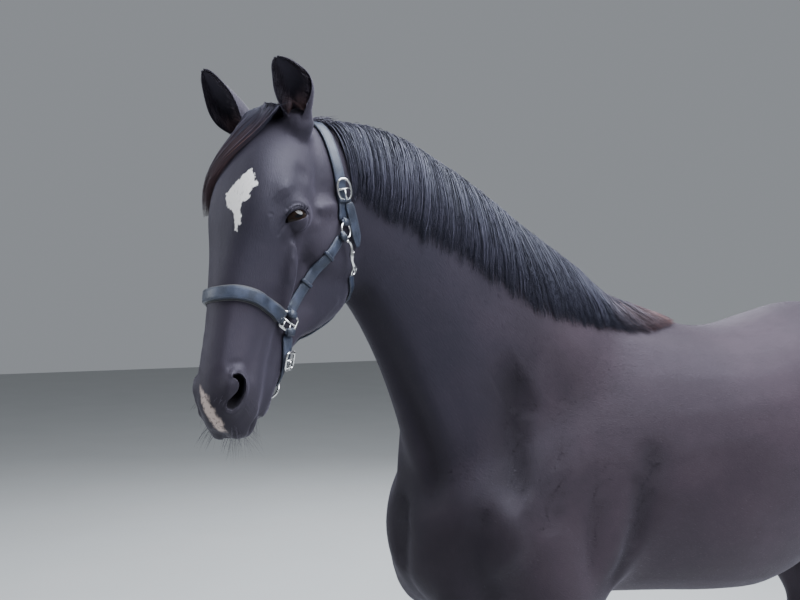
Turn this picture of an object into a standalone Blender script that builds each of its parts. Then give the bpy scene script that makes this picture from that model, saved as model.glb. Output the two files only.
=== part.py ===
"""A standing horse at life size, with a leather headcollar.

X is the horse's left, -Y is forward, Z is up. Metres, with the soles of the hooves on Z = 0.
The flesh is lofted and bulked out with muscles, made one body, then parted with thin cuts.
"""

import math

import bmesh
import bpy
import numpy as np
from mathutils import Matrix, Vector
from mathutils.bvhtree import BVHTree

SECTION = 27  # points round a lofted section
GAP = 0.0004  # clearance between neighbouring pieces
BODY_CELL = 0.012  # cell of the first remesh, of trunk, neck and legs
FLESH_CELL = 0.006  # cell of the second remesh, which joins the head on
FLESH_TRIANGLES = 3600

# The pose: the neck is carried up and bent to the left, and the head turns further left.
POLL = Vector((0.123, -1.235, 1.992))
HEAD_YAW = math.radians(23)
HEAD_NOSE_OUT = math.radians(21)
HEAD_ROLL = math.radians(-7)
HEAD_SCALE = 1.025


def clear_scene():
    for old in list(bpy.data.objects):
        bpy.data.objects.remove(old, do_unlink=True)


def smooth_rows(rows, count):
    """The rows resampled on a smooth curve through them, spaced by the distance between their first three numbers."""
    rows = np.array(rows, float)
    along = np.concatenate([[0], np.cumsum(np.linalg.norm(np.diff(rows[:, :3], axis=0), axis=1))])
    slopes = np.gradient(rows, along, axis=0)
    at = np.linspace(0, along[-1], count)
    i = np.clip(np.searchsorted(along, at, side="right") - 1, 0, len(rows) - 2)
    step = (along[i + 1] - along[i])[:, None]
    t = ((at - along[i]) / step[:, 0])[:, None]
    return (
        rows[i] * (1 + 2 * t) * (1 - t) ** 2
        + rows[i + 1] * t * t * (3 - 2 * t)
        + slopes[i] * step * t * (1 - t) ** 2
        - slopes[i + 1] * step * t * t * (1 - t)
    )


def ring_points(centre, side, up, half_width, above, below, roof, keel):
    """One closed section: a superellipse whose upper and lower halves have their own height and fullness."""
    points = []
    for k in range(SECTION):
        turn = 2 * math.pi * k / SECTION
        c, s = math.cos(turn), math.sin(turn)
        full = roof if s >= 0 else keel
        across = half_width * math.copysign(abs(c) ** (2 / full), c)
        rise = (above if s >= 0 else below) * math.copysign(abs(s) ** (2 / full), s)
        points.append(centre + side * across + up * rise)
    return points


def loft(body, rings):
    """Adds a closed skin through the rings to the bmesh."""
    rows = [[body.verts.new(p) for p in ring] for ring in rings]
    size = len(rows[0])
    for a, b in zip(rows, rows[1:]):
        for k in range(size):
            n = (k + 1) % size
            body.faces.new((a[k], a[n], b[n], b[k]))
    for row in (rows[0], rows[-1]):
        middle = body.verts.new(sum((v.co for v in row), Vector()) / size)
        for k in range(size):
            n = (k + 1) % size
            body.faces.new((row[n], row[k], middle) if row is rows[0] else (row[k], row[n], middle))


def muscle(body, start, end, wide, thick, facing, place=Matrix.Identity(4), ends=1.12):
    """Adds a flattened spindle from start to end: wide is its half width, thick its half thickness along facing."""
    start, end = Vector(start), Vector(end)
    along = (end - start).normalized()
    out = (Vector(facing) - along * along.dot(Vector(facing))).normalized()
    turn = Matrix((along, out.cross(along), out)).transposed().to_4x4()
    size = Matrix.Diagonal(((end - start).length / 2 * ends, wide, thick, 1))
    where = place @ Matrix.Translation((start + end) / 2) @ turn @ size
    bmesh.ops.create_uvsphere(body, u_segments=20, v_segments=12, radius=1, matrix=where)


def both_sides(body, start, end, wide, thick, facing, place=Matrix.Identity(4)):
    for side in (1, -1):
        flip = Vector((side, 1, 1))
        muscle(body, Vector(start) * flip, Vector(end) * flip, wide, thick, Vector(facing) * flip, place)


# ---------------------------------------------------------------- trunk

# back to front position, height of the widest line, half width, reach above and below it, fullness above and below
TRUNK = [
    (-0.850, 1.100, 0.080, 0.060, 0.090, 2.0, 2.0),
    (-0.800, 1.120, 0.155, 0.150, 0.185, 2.0, 2.0),
    (-0.700, 1.140, 0.200, 0.220, 0.252, 2.0, 2.0),
    (-0.560, 1.170, 0.215, 0.330, 0.272, 1.8, 2.1),
    (-0.420, 1.180, 0.222, 0.420, 0.275, 1.6, 2.2),
    (-0.300, 1.180, 0.235, 0.455, 0.292, 1.55, 2.2),
    (-0.130, 1.190, 0.265, 0.408, 0.322, 1.8, 2.3),
    (0.050, 1.200, 0.290, 0.365, 0.355, 2.1, 2.4),
    (0.200, 1.210, 0.290, 0.360, 0.372, 2.2, 2.4),
    (0.350, 1.240, 0.275, 0.365, 0.365, 2.1, 2.3),
    (0.480, 1.270, 0.252, 0.362, 0.312, 2.0, 2.2),
    (0.620, 1.290, 0.228, 0.320, 0.235, 2.0, 2.0),
    (0.740, 1.300, 0.180, 0.235, 0.150, 2.0, 2.0),
    (0.820, 1.310, 0.100, 0.130, 0.100, 2.0, 2.0),
]

# muscles of the left side: start, end, half width, half thickness, the way they face
TRUNK_MUSCLES = [
    ((0.050, -0.34, 1.560), (0.150, -0.74, 1.130), 0.115, 0.065, (1, -0.2, 0.2)),  # shoulder blade
    ((0.140, -0.36, 1.300), (0.175, -0.42, 0.960), 0.125, 0.070, (1, 0, 0)),  # triceps
    ((0.140, -0.70, 1.210), (0.172, -0.71, 1.030), 0.085, 0.052, (0.8, -1, 0)),  # point of shoulder
    ((0.066, -0.70, 1.255), (0.092, -0.725, 0.905), 0.085, 0.118, (0, -1, 0)),  # breast
    ((0.035, -0.725, 1.470), (0.050, -0.745, 1.060), 0.080, 0.100, (0, -1, 0)),  # where the neck meets the breast
    ((0.080, -0.62, 0.945), (0.060, -0.30, 0.925), 0.070, 0.050, (0, 0, -1)),  # deep breast
    ((0.060, 0.250, 1.500), (0.150, 0.650, 1.380), 0.130, 0.090, (0.7, 0, 0.7)),  # gluteal
    ((0.185, 0.310, 1.430), (0.205, 0.400, 1.400), 0.070, 0.050, (1, 0, 0.3)),  # point of hip
    ((0.095, 0.600, 1.440), (0.115, 0.760, 1.150), 0.105, 0.085, (0.5, 1, 0)),  # hamstring
    ((0.160, 0.400, 1.380), (0.185, 0.460, 1.060), 0.110, 0.075, (1, -0.2, 0)),  # quadriceps
    ((0.155, 0.390, 1.060), (0.120, 0.180, 0.985), 0.050, 0.030, (1, 0, 0)),  # fold of the flank
]


def add_trunk(body):
    rings = [
        ring_points(Vector((0, y, z)), Vector((1, 0, 0)), Vector((0, 0, 1)), w, up, down, roof, keel)
        for y, z, w, up, down, roof, keel in smooth_rows(TRUNK, 44)
    ]
    loft(body, rings)
    for row in TRUNK_MUSCLES:
        both_sides(body, *row)


# ---------------------------------------------------------------- legs

# height, distance out, distance back, half width, reach forward and back, fullness
FORELEG = [
    (1.120, 0.150, -0.600, 0.080, 0.110, 0.150, 2.0),
    (1.000, 0.155, -0.560, 0.080, 0.110, 0.140, 2.0),
    (0.900, 0.155, -0.540, 0.072, 0.095, 0.110, 2.0),
    (0.800, 0.150, -0.535, 0.062, 0.080, 0.080, 2.0),
    (0.680, 0.145, -0.535, 0.048, 0.056, 0.056, 2.0),
    (0.580, 0.142, -0.535, 0.042, 0.044, 0.044, 2.1),
    (0.510, 0.140, -0.540, 0.050, 0.047, 0.046, 2.4),
    (0.450, 0.140, -0.538, 0.046, 0.042, 0.046, 2.4),
    (0.400, 0.140, -0.535, 0.030, 0.029, 0.042, 2.1),
    (0.320, 0.140, -0.535, 0.026, 0.026, 0.037, 2.1),
    (0.265, 0.140, -0.535, 0.031, 0.030, 0.042, 2.1),
    (0.230, 0.140, -0.537, 0.036, 0.037, 0.050, 2.1),
    (0.190, 0.140, -0.552, 0.031, 0.032, 0.040, 2.0),
    (0.145, 0.140, -0.574, 0.031, 0.031, 0.034, 2.0),
    (0.100, 0.140, -0.594, 0.048, 0.046, 0.046, 2.0),
    (0.060, 0.140, -0.606, 0.052, 0.052, 0.050, 2.0),
]
HINDLEG = [
    (1.320, 0.120, 0.560, 0.110, 0.170, 0.190, 2.0),
    (1.180, 0.140, 0.545, 0.110, 0.170, 0.235, 2.1),
    (1.060, 0.145, 0.540, 0.098, 0.155, 0.215, 2.1),
    (0.950, 0.145, 0.580, 0.078, 0.125, 0.145, 2.0),
    (0.850, 0.140, 0.640, 0.060, 0.090, 0.095, 2.0),
    (0.760, 0.138, 0.700, 0.046, 0.064, 0.080, 2.0),
    (0.680, 0.136, 0.745, 0.040, 0.054, 0.098, 1.9),
    (0.620, 0.136, 0.765, 0.046, 0.058, 0.092, 2.1),
    (0.560, 0.136, 0.775, 0.048, 0.056, 0.064, 2.3),
    (0.490, 0.136, 0.785, 0.036, 0.038, 0.050, 2.2),
    (0.420, 0.136, 0.790, 0.028, 0.028, 0.042, 2.1),
    (0.330, 0.136, 0.792, 0.027, 0.027, 0.038, 2.1),
    (0.280, 0.136, 0.792, 0.032, 0.031, 0.044, 2.1),
    (0.245, 0.136, 0.790, 0.037, 0.037, 0.051, 2.1),
    (0.200, 0.136, 0.774, 0.031, 0.032, 0.040, 2.0),
    (0.150, 0.136, 0.752, 0.031, 0.031, 0.034, 2.0),
    (0.100, 0.136, 0.732, 0.047, 0.046, 0.046, 2.0),
    (0.060, 0.136, 0.720, 0.050, 0.052, 0.050, 2.0),
]
FORE_MUSCLES = [
    ((0.165, -0.600, 1.000), (0.160, -0.575, 0.700), 0.055, 0.045, (0.3, -1, 0)),  # extensors
    ((0.150, -0.450, 0.980), (0.148, -0.510, 0.680), 0.055, 0.045, (0, 1, 0)),  # flexors
    ((0.140, -0.400, 0.980), (0.150, -0.440, 0.900), 0.050, 0.045, (0.2, 1, 0)),  # elbow
    ((0.140, -0.492, 0.490), (0.140, -0.498, 0.455), 0.024, 0.018, (0, 1, 0)),  # back of the knee
]
HIND_MUSCLES = [
    ((0.165, 0.385, 1.080), (0.165, 0.415, 1.000), 0.055, 0.050, (0.3, -1, 0)),  # stifle
    ((0.165, 0.530, 1.040), (0.150, 0.660, 0.780), 0.065, 0.045, (1, 0, 0)),  # gaskin
    ((0.130, 0.700, 1.000), (0.137, 0.790, 0.760), 0.045, 0.034, (0, 1, 0)),  # calf
    ((0.136, 0.775, 0.820), (0.136, 0.855, 0.670), 0.017, 0.019, (0, 1, 0)),  # hamstring tendon
    ((0.136, 0.845, 0.680), (0.136, 0.838, 0.600), 0.022, 0.020, (0, 1, 0)),  # point of hock
]
FORE_TOP = 1.12
HIND_TOP = 1.32
# how far each hoof stands ahead of (-) or behind (+) the square position
STRIDES = {"fore_left": 0.03, "fore_right": -0.05, "hind_left": 0.05, "hind_right": -0.09}


def swing(z, top, stride):
    """How far a leg standing off square has moved at a height."""
    return stride * min(1.0, max(0.0, (top - z) / top)) ** 1.1


def add_leg(body, name):
    front, side = name.split("_")
    table, muscles, top = (
        (FORELEG, FORE_MUSCLES, FORE_TOP) if front == "fore" else (HINDLEG, HIND_MUSCLES, HIND_TOP)
    )
    sign, stride = (1 if side == "left" else -1), STRIDES[name]
    rows = smooth_rows([(z, x, y, w, f, b, n) for z, x, y, w, f, b, n in table], 60)
    rings = []
    for z, x, y, w, forward, back, full in rows:
        centre = Vector((sign * x, y + swing(z, top, stride), z))
        rings.append(
            ring_points(centre, Vector((1, 0, 0)), Vector((0, -1, 0)), w, forward, back, full, full)
        )
    loft(body, rings)
    for start, end, wide, thick, facing in muscles:
        ends = [
            Vector((sign * p[0], p[1] + swing(p[2], top, stride), p[2])) for p in (start, end)
        ]
        muscle(body, *ends, wide, thick, Vector(facing) * Vector((sign, 1, 1)))


# ---------------------------------------------------------------- neck

# share of the way from the withers to the poll, half width, reach to the crest, reach to the throat
NECK = [
    (0.00, 0.165, 0.300, 0.405),
    (0.20, 0.155, 0.265, 0.426),
    (0.40, 0.125, 0.210, 0.345),
    (0.60, 0.102, 0.184, 0.262),
    (0.80, 0.086, 0.168, 0.190),
    (1.00, 0.074, 0.118, 0.135),
]
NECK_PATH = [Vector((0, -0.36, 1.32)), Vector((0.01, -0.60, 1.62)), Vector((0.05, -0.88, 1.86))]
NECK_TOP = Vector((0, 0.10, -0.09))  # in the head's own axes


def head_matrix():
    """Carries the head's own axes, with X its left, Y back from the face and Z up the face, to its place."""
    turn = (
        Matrix.Rotation(HEAD_YAW, 4, "Z")
        @ Matrix.Rotation(-HEAD_NOSE_OUT, 4, "X")
        @ Matrix.Rotation(HEAD_ROLL, 4, "Y")
    )
    return Matrix.Translation(POLL) @ turn @ Matrix.Scale(HEAD_SCALE, 4)


def neck_frame(t):
    """Centre, left and crestward directions at a share of the way up the neck."""
    a, b, c = NECK_PATH
    d = head_matrix() @ NECK_TOP
    u = 1 - t
    at = a * u**3 + b * 3 * u * u * t + c * 3 * u * t * t + d * t**3
    along = ((b - a) * u * u + (c - b) * 2 * u * t + (d - c) * t * t).normalized()
    left = along.cross(Vector((0, 0, -1))).normalized()
    return at, left, left.cross(along).normalized() * -1


def add_neck(body):
    rings = []
    for t, w, crestward, throatward in smooth_rows([(r[0], 0, 0, *r[1:]) for r in NECK], 36)[:, [0, 3, 4, 5]]:
        at, left, crest = neck_frame(t)
        rings.append(ring_points(at, left, crest, w, crestward, throatward, 1.7, 2.1))
    loft(body, rings)


# ---------------------------------------------------------------- head, in its own axes

# distance down the face, centre depth behind the face line, half width, reach forward and back, fullness front and back
SKULL = [
    (0.020, 0.085, 0.042, 0.050, 0.055, 2.0, 2.0),
    (-0.030, 0.075, 0.068, 0.078, 0.080, 2.0, 2.0),
    (-0.090, 0.062, 0.084, 0.088, 0.100, 2.3, 2.0),
    (-0.150, 0.052, 0.092, 0.088, 0.110, 2.6, 2.0),
    (-0.210, 0.050, 0.088, 0.086, 0.110, 2.7, 2.0),
    (-0.280, 0.055, 0.073, 0.082, 0.090, 2.5, 2.0),
    (-0.350, 0.060, 0.061, 0.080, 0.070, 2.3, 2.0),
    (-0.420, 0.063, 0.053, 0.074, 0.060, 2.2, 2.0),
    (-0.480, 0.064, 0.051, 0.070, 0.058, 2.2, 2.0),
    (-0.530, 0.068, 0.053, 0.068, 0.050, 2.2, 2.2),
    (-0.575, 0.074, 0.050, 0.060, 0.042, 2.2, 2.2),
    (-0.605, 0.080, 0.038, 0.040, 0.034, 2.0, 2.0),
]
JAW = [
    (-0.070, 0.180, 0.034, 0.060, 0.050, 2.0, 2.0),
    (-0.130, 0.195, 0.056, 0.090, 0.090, 2.0, 2.3),
    (-0.200, 0.195, 0.066, 0.100, 0.105, 2.0, 2.3),
    (-0.270, 0.190, 0.066, 0.095, 0.118, 2.0, 2.3),
    (-0.330, 0.175, 0.056, 0.080, 0.095, 2.0, 2.2),
    (-0.400, 0.150, 0.042, 0.060, 0.042, 2.0, 2.2),
    (-0.470, 0.134, 0.036, 0.045, 0.028, 2.0, 2.2),
    (-0.525, 0.123, 0.036, 0.040, 0.028, 2.0, 2.0),
    (-0.562, 0.116, 0.032, 0.030, 0.026, 2.0, 2.0),
]
# muscles and bones of the left half: start, end, half width, half thickness, the way they face
HEAD_MUSCLES = [
    ((0.062, 0.185, -0.120), (0.060, 0.190, -0.260), 0.090, 0.026, (1, 0.1, 0)),  # cheek
    ((0.058, 0.005, -0.165), (0.078, 0.045, -0.165), 0.040, 0.028, (0.6, -0.5, 0.3)),  # brow
    ((0.080, 0.020, -0.200), (0.076, 0.100, -0.185), 0.038, 0.028, (1, 0, 0.1)),  # orbit
    ((0.082, 0.110, -0.165), (0.074, 0.180, -0.120), 0.018, 0.016, (1, 0, 0)),  # cheek bone behind the eye
    ((0.084, 0.070, -0.258), (0.056, 0.100, -0.372), 0.017, 0.015, (1, 0, 0)),  # facial crest
    ((0.030, 0.030, -0.500), (0.044, 0.036, -0.560), 0.026, 0.022, (1, -0.6, 0)),  # nostril wing
    ((0.016, 0.060, -0.600), (0.030, 0.095, -0.590), 0.022, 0.020, (0.4, -0.4, -1)),  # upper lip
    ((0.052, 0.055, -0.040), (0.066, 0.040, 0.020), 0.034, 0.032, (1, 0, 0)),  # ear root
]
CHIN = ((0, 0.140, -0.512), (0, 0.124, -0.560), 0.028, 0.023, (0, 1, -0.5))
EYE_CENTRE = Vector((0.084, 0.060, -0.208))
EYE_RADIUS = 0.024


def add_head(body):
    place = head_matrix()
    turn = place.to_3x3()
    for table, count in ((SKULL, 40), (JAW, 30)):
        rings = []
        for z, y, w, front, back, roof, keel in smooth_rows(table, count):
            points = ring_points(
                place @ Vector((0, y, z)), turn @ Vector((1, 0, 0)), turn @ Vector((0, -1, 0)),
                w, front, back, roof, keel,
            )
            rings.append(points)
        loft(body, rings)
    for row in HEAD_MUSCLES:
        both_sides(body, *row, place)
    muscle(body, *CHIN, place)


# ---------------------------------------------------------------- one body of flesh


def mesh_object(name, body):
    bmesh.ops.recalc_face_normals(body, faces=body.faces)
    mesh = bpy.data.meshes.new(name)
    body.to_mesh(mesh)
    body.free()
    thing = bpy.data.objects.new(name, mesh)
    bpy.context.scene.collection.objects.link(thing)
    return thing


def apply(thing):
    """Replaces the object's mesh with what its modifiers make of it."""
    graph = bpy.context.evaluated_depsgraph_get()
    made = bpy.data.meshes.new_from_object(thing.evaluated_get(graph))
    thing.modifiers.clear()
    thing.data = made


def remesh(thing, size):
    cells = thing.modifiers.new("remesh", "REMESH")
    cells.mode = "VOXEL"
    cells.voxel_size = size
    apply(thing)


def points_of(mesh):
    place = np.empty(len(mesh.vertices) * 3)
    mesh.vertices.foreach_get("co", place)
    return place.reshape(-1, 3)


def fill_creases(mesh, rounds, firm, share):
    """Softens the mesh. Hollows between muscles fill freely, and what stands proud gives way by the share firm."""
    count = len(mesh.vertices)
    ends = np.empty(len(mesh.edges) * 2, np.int64)
    mesh.edges.foreach_get("vertices", ends)
    a, b = ends.reshape(-1, 2).T
    near = np.bincount(a, minlength=count) + np.bincount(b, minlength=count)
    place = points_of(mesh)
    amount = share(place)[:, None]
    normal = np.empty(count * 3)
    for k in range(rounds):
        if k % 4 == 0:
            mesh.vertices.foreach_set("co", place.ravel())
            mesh.update()
            mesh.vertices.foreach_get("normal", normal)
        total = np.stack(
            [np.bincount(a, place[b, d], count) + np.bincount(b, place[a, d], count) for d in range(3)], 1
        )
        pull = total / near[:, None] - place
        hollow = (pull * normal.reshape(-1, 3)).sum(1) > 0
        place += pull * np.where(hollow, 0.8, firm)[:, None] * amount
    mesh.vertices.foreach_set("co", place.ravel())
    mesh.update()


def ramp(value, low, high):
    t = np.clip((value - low) / (high - low), 0, 1)
    return t * t * (3 - 2 * t)


def high_up(place):
    """Full on the trunk and neck, none on the lower legs."""
    return 0.08 + 0.92 * ramp(place[:, 2], 0.80, 1.00)


def head_points(place):
    """Points in the head's own axes."""
    back = np.array(head_matrix().inverted())
    return place @ back[:3, :3].T + back[:3, 3]


def off_head(place):
    """Full on the body, less on the head and least on the lower legs."""
    own = head_points(place)
    in_head = ramp(-(0.8 * (own[:, 1] - 0.21) + 0.6 * (own[:, 2] + 0.045)), -0.03, 0.03) * (own[:, 1] < 0.4)
    return (1 - 0.5 * in_head) * (0.3 + 0.7 * ramp(place[:, 2], 0.75, 0.95))


# hollows of the left side of the head: centre, reach, how deep, and the way they are pressed
HOLLOWS = [
    ((0.066, 0.062, -0.125), 0.022, 0.010, (-1, 0.2, 0)),  # above the eye
    ((0.096, 0.064, -0.215), 0.016, 0.012, (-1, 0.1, 0)),  # eye socket
    ((0.082, 0.034, -0.246), 0.018, 0.007, (-1, 0.6, 0)),  # inner corner of the eye
    ((0.048, 0.036, -0.548), 0.013, 0.020, (-0.8, 0.5, 0.3)),  # nostril
    ((0.064, 0.140, -0.335), 0.034, 0.006, (-1, 0, 0)),  # between cheek and facial crest
    ((0.052, 0.098, -0.550), 0.012, 0.006, (-1, 0, 0)),  # corner of the mouth
    ((0.044, 0.103, -0.585), 0.011, 0.007, (-1, 0, 0)),  # line of the lips
]


def press_hollows(mesh):
    place = points_of(mesh)
    own = head_points(place)
    for centre, reach, deep, way in HOLLOWS:
        for side in (1, -1):
            flip = np.array([side, 1, 1])
            gap = ((own - np.array(centre) * flip) ** 2).sum(1)
            push = Vector(way).normalized()
            own += deep * np.exp(-gap / reach**2)[:, None] * (np.array(push) * flip)
    there = np.array(head_matrix())
    mesh.vertices.foreach_set("co", (own @ there[:3, :3].T + there[:3, 3]).ravel())
    mesh.update()


def make_flesh():
    body = bmesh.new()
    add_trunk(body)
    for name in STRIDES:
        add_leg(body, name)
    add_neck(body)
    flesh = mesh_object("flesh", body)
    remesh(flesh, BODY_CELL)
    fill_creases(flesh.data, 40, 0.10, high_up)
    body = bmesh.new()
    body.from_mesh(flesh.data)
    add_head(body)
    bpy.data.objects.remove(flesh)
    flesh = mesh_object("flesh", body)
    remesh(flesh, FLESH_CELL)
    fill_creases(flesh.data, 16, 0.15, off_head)
    press_hollows(flesh.data)
    fill_creases(flesh.data, 3, 0.5, off_head)
    return flesh


# ---------------------------------------------------------------- parting the flesh


def lighten(thing, triangles):
    """Collapses edges down to the number of triangles, keeping the head the finest and the hooves' end fine."""
    mesh = thing.data
    place = points_of(mesh)
    own = head_points(place)
    in_head = ramp(-(own[:, 1] - 0.33), -0.05, 0.05) * ramp(own[:, 2], -0.75, -0.66)
    coarse = 1 - 0.70 * in_head - 0.3 * (1 - in_head) * ramp(-place[:, 2], -0.9, -0.7)
    group = thing.vertex_groups.new(name="coarse")
    for level in np.unique(np.round(coarse, 2)):
        chosen = np.nonzero(np.round(coarse, 2) == level)[0]
        group.add(chosen.tolist(), float(level), "REPLACE")
    less = thing.modifiers.new("lighten", "DECIMATE")
    less.ratio = triangles / (2 * len(mesh.polygons))
    less.vertex_group = "coarse"
    less.vertex_group_factor = 1.0
    apply(thing)


def halves(thing, point, normal, gap=GAP):
    """Parts a closed mesh by a plane, and returns (the side the normal points to, the other side)."""
    made = []
    for sign in (1, -1):
        body = bmesh.new()
        body.from_mesh(thing.data)
        where = Vector(point) + Vector(normal).normalized() * gap / 2 * sign
        cut = bmesh.ops.bisect_plane(
            body,
            geom=list(body.verts) + list(body.edges) + list(body.faces),
            dist=1e-7,
            plane_co=where,
            plane_no=Vector(normal) * sign,
            clear_inner=True,
        )
        edges = [e for e in cut["geom_cut"] if isinstance(e, bmesh.types.BMEdge)]
        bmesh.ops.holes_fill(body, edges=edges)
        bmesh.ops.triangulate(body, faces=[f for f in body.faces if len(f.verts) > 4])
        made.append(mesh_object(thing.name + "_part", body))
    bpy.data.objects.remove(thing)
    return made


def loose_parts(thing):
    """Splits a mesh into its separate bodies."""
    made = []
    body = bmesh.new()
    body.from_mesh(thing.data)
    left = set(body.verts)
    while left:
        found, edge = set(), [next(iter(left))]
        while edge:
            v = edge.pop()
            if v in found:
                continue
            found.add(v)
            edge.extend(e.other_vert(v) for e in v.link_edges)
        left -= found
        piece = body.copy()
        keep = {v.index for v in found}
        piece.verts.ensure_lookup_table()
        bmesh.ops.delete(piece, geom=[v for v in piece.verts if v.index not in keep], context="VERTS")
        made.append(mesh_object(thing.name + "_piece", piece))
    body.free()
    bpy.data.objects.remove(thing)
    return made


def head_plane(y, z, normal):
    """A plane of the head's own axes as a world point and normal."""
    place = head_matrix()
    return place @ Vector((0, y, z)), (place.to_3x3() @ Vector(normal)).normalized()


# ---------------------------------------------------------------- hooves

CORONET_HEIGHT = 0.075
CORONET_DROP = 0.36  # how steeply the coronet falls from toe to heel
HOOF_RING = 12
HOOF_SLOPE = 0.52  # how far the wall leans for each metre of height
# share of the height, half width, reach to the toe, reach to the heel
HOOF = [
    (0.00, 0.066, 0.074, 0.058),
    (0.05, 0.0665, 0.0745, 0.059),
    (0.92, 0.055, 0.058, 0.053),
    (1.00, 0.052, 0.055, 0.050),
]


def coronet(x, y):
    """A point and the normal of the plane where a foot meets its hoof."""
    return Vector((x, y, CORONET_HEIGHT)), Vector((0, CORONET_DROP, 1)).normalized()


def make_hoof(name, x, y):
    body = bmesh.new()
    rings = []
    for share, w, toe, heel in HOOF:
        ring = []
        for k in range(HOOF_RING):
            turn = 2 * math.pi * k / HOOF_RING
            c, s = math.cos(turn), math.sin(turn)
            across = w * math.copysign(abs(c) ** 0.9, c)
            along = -(toe if s > 0 else heel) * math.copysign(abs(s) ** (0.95 if s > 0 else 0.7), s)
            top = CORONET_HEIGHT - GAP - CORONET_DROP * along / (1 + CORONET_DROP * HOOF_SLOPE)
            z = share * top
            ring.append(Vector((x + across, y + along + HOOF_SLOPE * (z - CORONET_HEIGHT), z)))
        rings.append(ring)
    loft(body, rings)
    return mesh_object(name, body)


# ---------------------------------------------------------------- ears, in the head's own axes

# share of the way up, half width, half depth, how far round the back the shell reaches in degrees, wall
EAR = [
    (-0.22, 0.022, 0.022, 165, 0.012),
    (0.00, 0.027, 0.027, 160, 0.011),
    (0.15, 0.033, 0.031, 140, 0.010),
    (0.35, 0.039, 0.032, 118, 0.008),
    (0.55, 0.038, 0.027, 104, 0.006),
    (0.75, 0.029, 0.019, 92, 0.005),
    (0.91, 0.018, 0.012, 84, 0.004),
    (1.00, 0.007, 0.006, 80, 0.003),
]
EAR_ROOT = Vector((0.066, 0.040, 0.004))
EAR_TIP = Vector((0.078, -0.052, 0.096))
EAR_OPENS = {"left": Vector((0.25, -1, 0.1)), "right": Vector((-0.25, -1, 0.1))}
EAR_LEAN = {"left": Vector((-0.012, 0.006, -0.014)), "right": Vector((-0.040, -0.014, 0.0))}
EAR_BOW = 0.012


def ear_rings(side, count=9, half=3):
    """Crescent sections of the cupped ear, from inside the head to its tip."""
    place = head_matrix()
    flip = Vector((1 if side == "left" else -1, 1, 1))
    root, tip = EAR_ROOT * flip, EAR_TIP * flip + EAR_LEAN[side]
    along = (tip - root).normalized()
    opens = EAR_OPENS[side]
    opens = (opens - along * along.dot(opens)).normalized()
    across = along.cross(opens)
    out = across if across.x * flip.x > 0 else -across
    rings = []
    for share, _, _, w, d, reach, wall in smooth_rows([(r[0], 0, 0, *r[1:]) for r in EAR], count):
        centre = root.lerp(tip, share) + out * EAR_BOW * math.sin(math.pi * max(share, 0)) * 1.0
        ring = []
        for k in range(-half, half + 1):
            turn = math.radians(reach) * k / half
            ring.append(centre - opens * d * math.cos(turn) + across * w * math.sin(turn))
        for k in range(half, -half - 1, -1):
            turn = math.radians(reach) * k / half
            ring.append(
                centre - opens * (d - wall) * math.cos(turn) + across * (w - wall) * math.sin(turn)
            )
        rings.append([place @ p for p in ring])
    return rings


def crescent_loft(body, rings):
    """A closed skin through sections that are not round, capped by strips."""
    rows = [[body.verts.new(p) for p in ring] for ring in rings]
    size = len(rows[0])
    for a, b in zip(rows, rows[1:]):
        for k in range(size):
            n = (k + 1) % size
            body.faces.new((a[k], a[n], b[n], b[k]))
    for row in (rows[0], rows[-1]):
        for k in range(size // 2 - 1):
            body.faces.new((row[k], row[k + 1], row[size - 2 - k], row[size - 1 - k]))


def make_ear(side):
    body = bmesh.new()
    crescent_loft(body, ear_rings(side))
    return mesh_object("ear_" + side, body)


# ---------------------------------------------------------------- trimming one piece clear of another


def swollen(thing, by):
    """A copy of the mesh with its surface moved out a little."""
    body = bmesh.new()
    body.from_mesh(thing.data)
    bmesh.ops.triangulate(body, faces=body.faces)
    body.normal_update()
    shifts = []
    for v in body.verts:
        total = Vector()
        for f in v.link_faces:
            total += f.normal
        out = total.normalized()
        lean = min((out.dot(f.normal) for f in v.link_faces), default=1)
        shifts.append(out * by / max(lean, 0.4))
    for v, shift in zip(body.verts, shifts):
        v.co += shift
    return mesh_object(thing.name + "_swollen", body)


def subtract(thing, cutter):
    cut = thing.modifiers.new("cut", "BOOLEAN")
    cut.operation = "DIFFERENCE"
    cut.solver = "EXACT"
    cut.object = cutter
    apply(thing)


def keep_biggest(thing):
    """Drops chips that a cut left behind."""
    name = thing.name
    parts = loose_parts(thing)
    parts.sort(key=lambda p: max(p.dimensions), reverse=True)
    for chip in parts[1:]:
        bpy.data.objects.remove(chip)
    parts[0].name = name
    return parts[0]


def trim(thing, others, by=GAP):
    for other in others:
        cutter = swollen(other, by)
        subtract(thing, cutter)
        bpy.data.objects.remove(cutter)
    return keep_biggest(thing)


# ---------------------------------------------------------------- hair in mass

MANE_SPAN = (0.03, 0.90)  # shares of the way up the neck
MANE_LENGTH = 0.215
MANE_STEPS = 15
MANE_ACROSS = 5


def surface_ray(tree, start, way):
    """Where a ray from far out towards start meets the surface."""
    hit = tree.ray_cast(start + way * 0.8, -way)
    return hit[0], hit[1]


def mane_line(tree, t, steps, first=-5, last=100):
    """Points and normals over the crest and down the left of the neck, spaced by the mane's length."""
    at, left, crest = neck_frame(t)
    found, gone = [], 0.0
    fine = 60
    for k in range(fine + 1):
        turn = math.radians(first + (last - first) * k / fine)
        way = crest * math.cos(turn) + left * math.sin(turn)
        point, normal = surface_ray(tree, at, way)
        if point is None:
            continue
        if found:
            gone += (point - found[-1][0]).length
        found.append((point, normal, gone))
    taper = min(1.0, (t - MANE_SPAN[0]) / 0.16 + 0.25) * min(1.0, (MANE_SPAN[1] - t) / 0.05 + 0.55)
    length = MANE_LENGTH * taper * (1 + 0.26 * math.exp(-(((t - 0.36) / 0.20) ** 2)))
    line = []
    for k in range(steps):
        want = length * k / (steps - 1)
        point, normal, _ = min(found, key=lambda row: abs(row[2] - want))
        line.append((point, normal))
    return line


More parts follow.
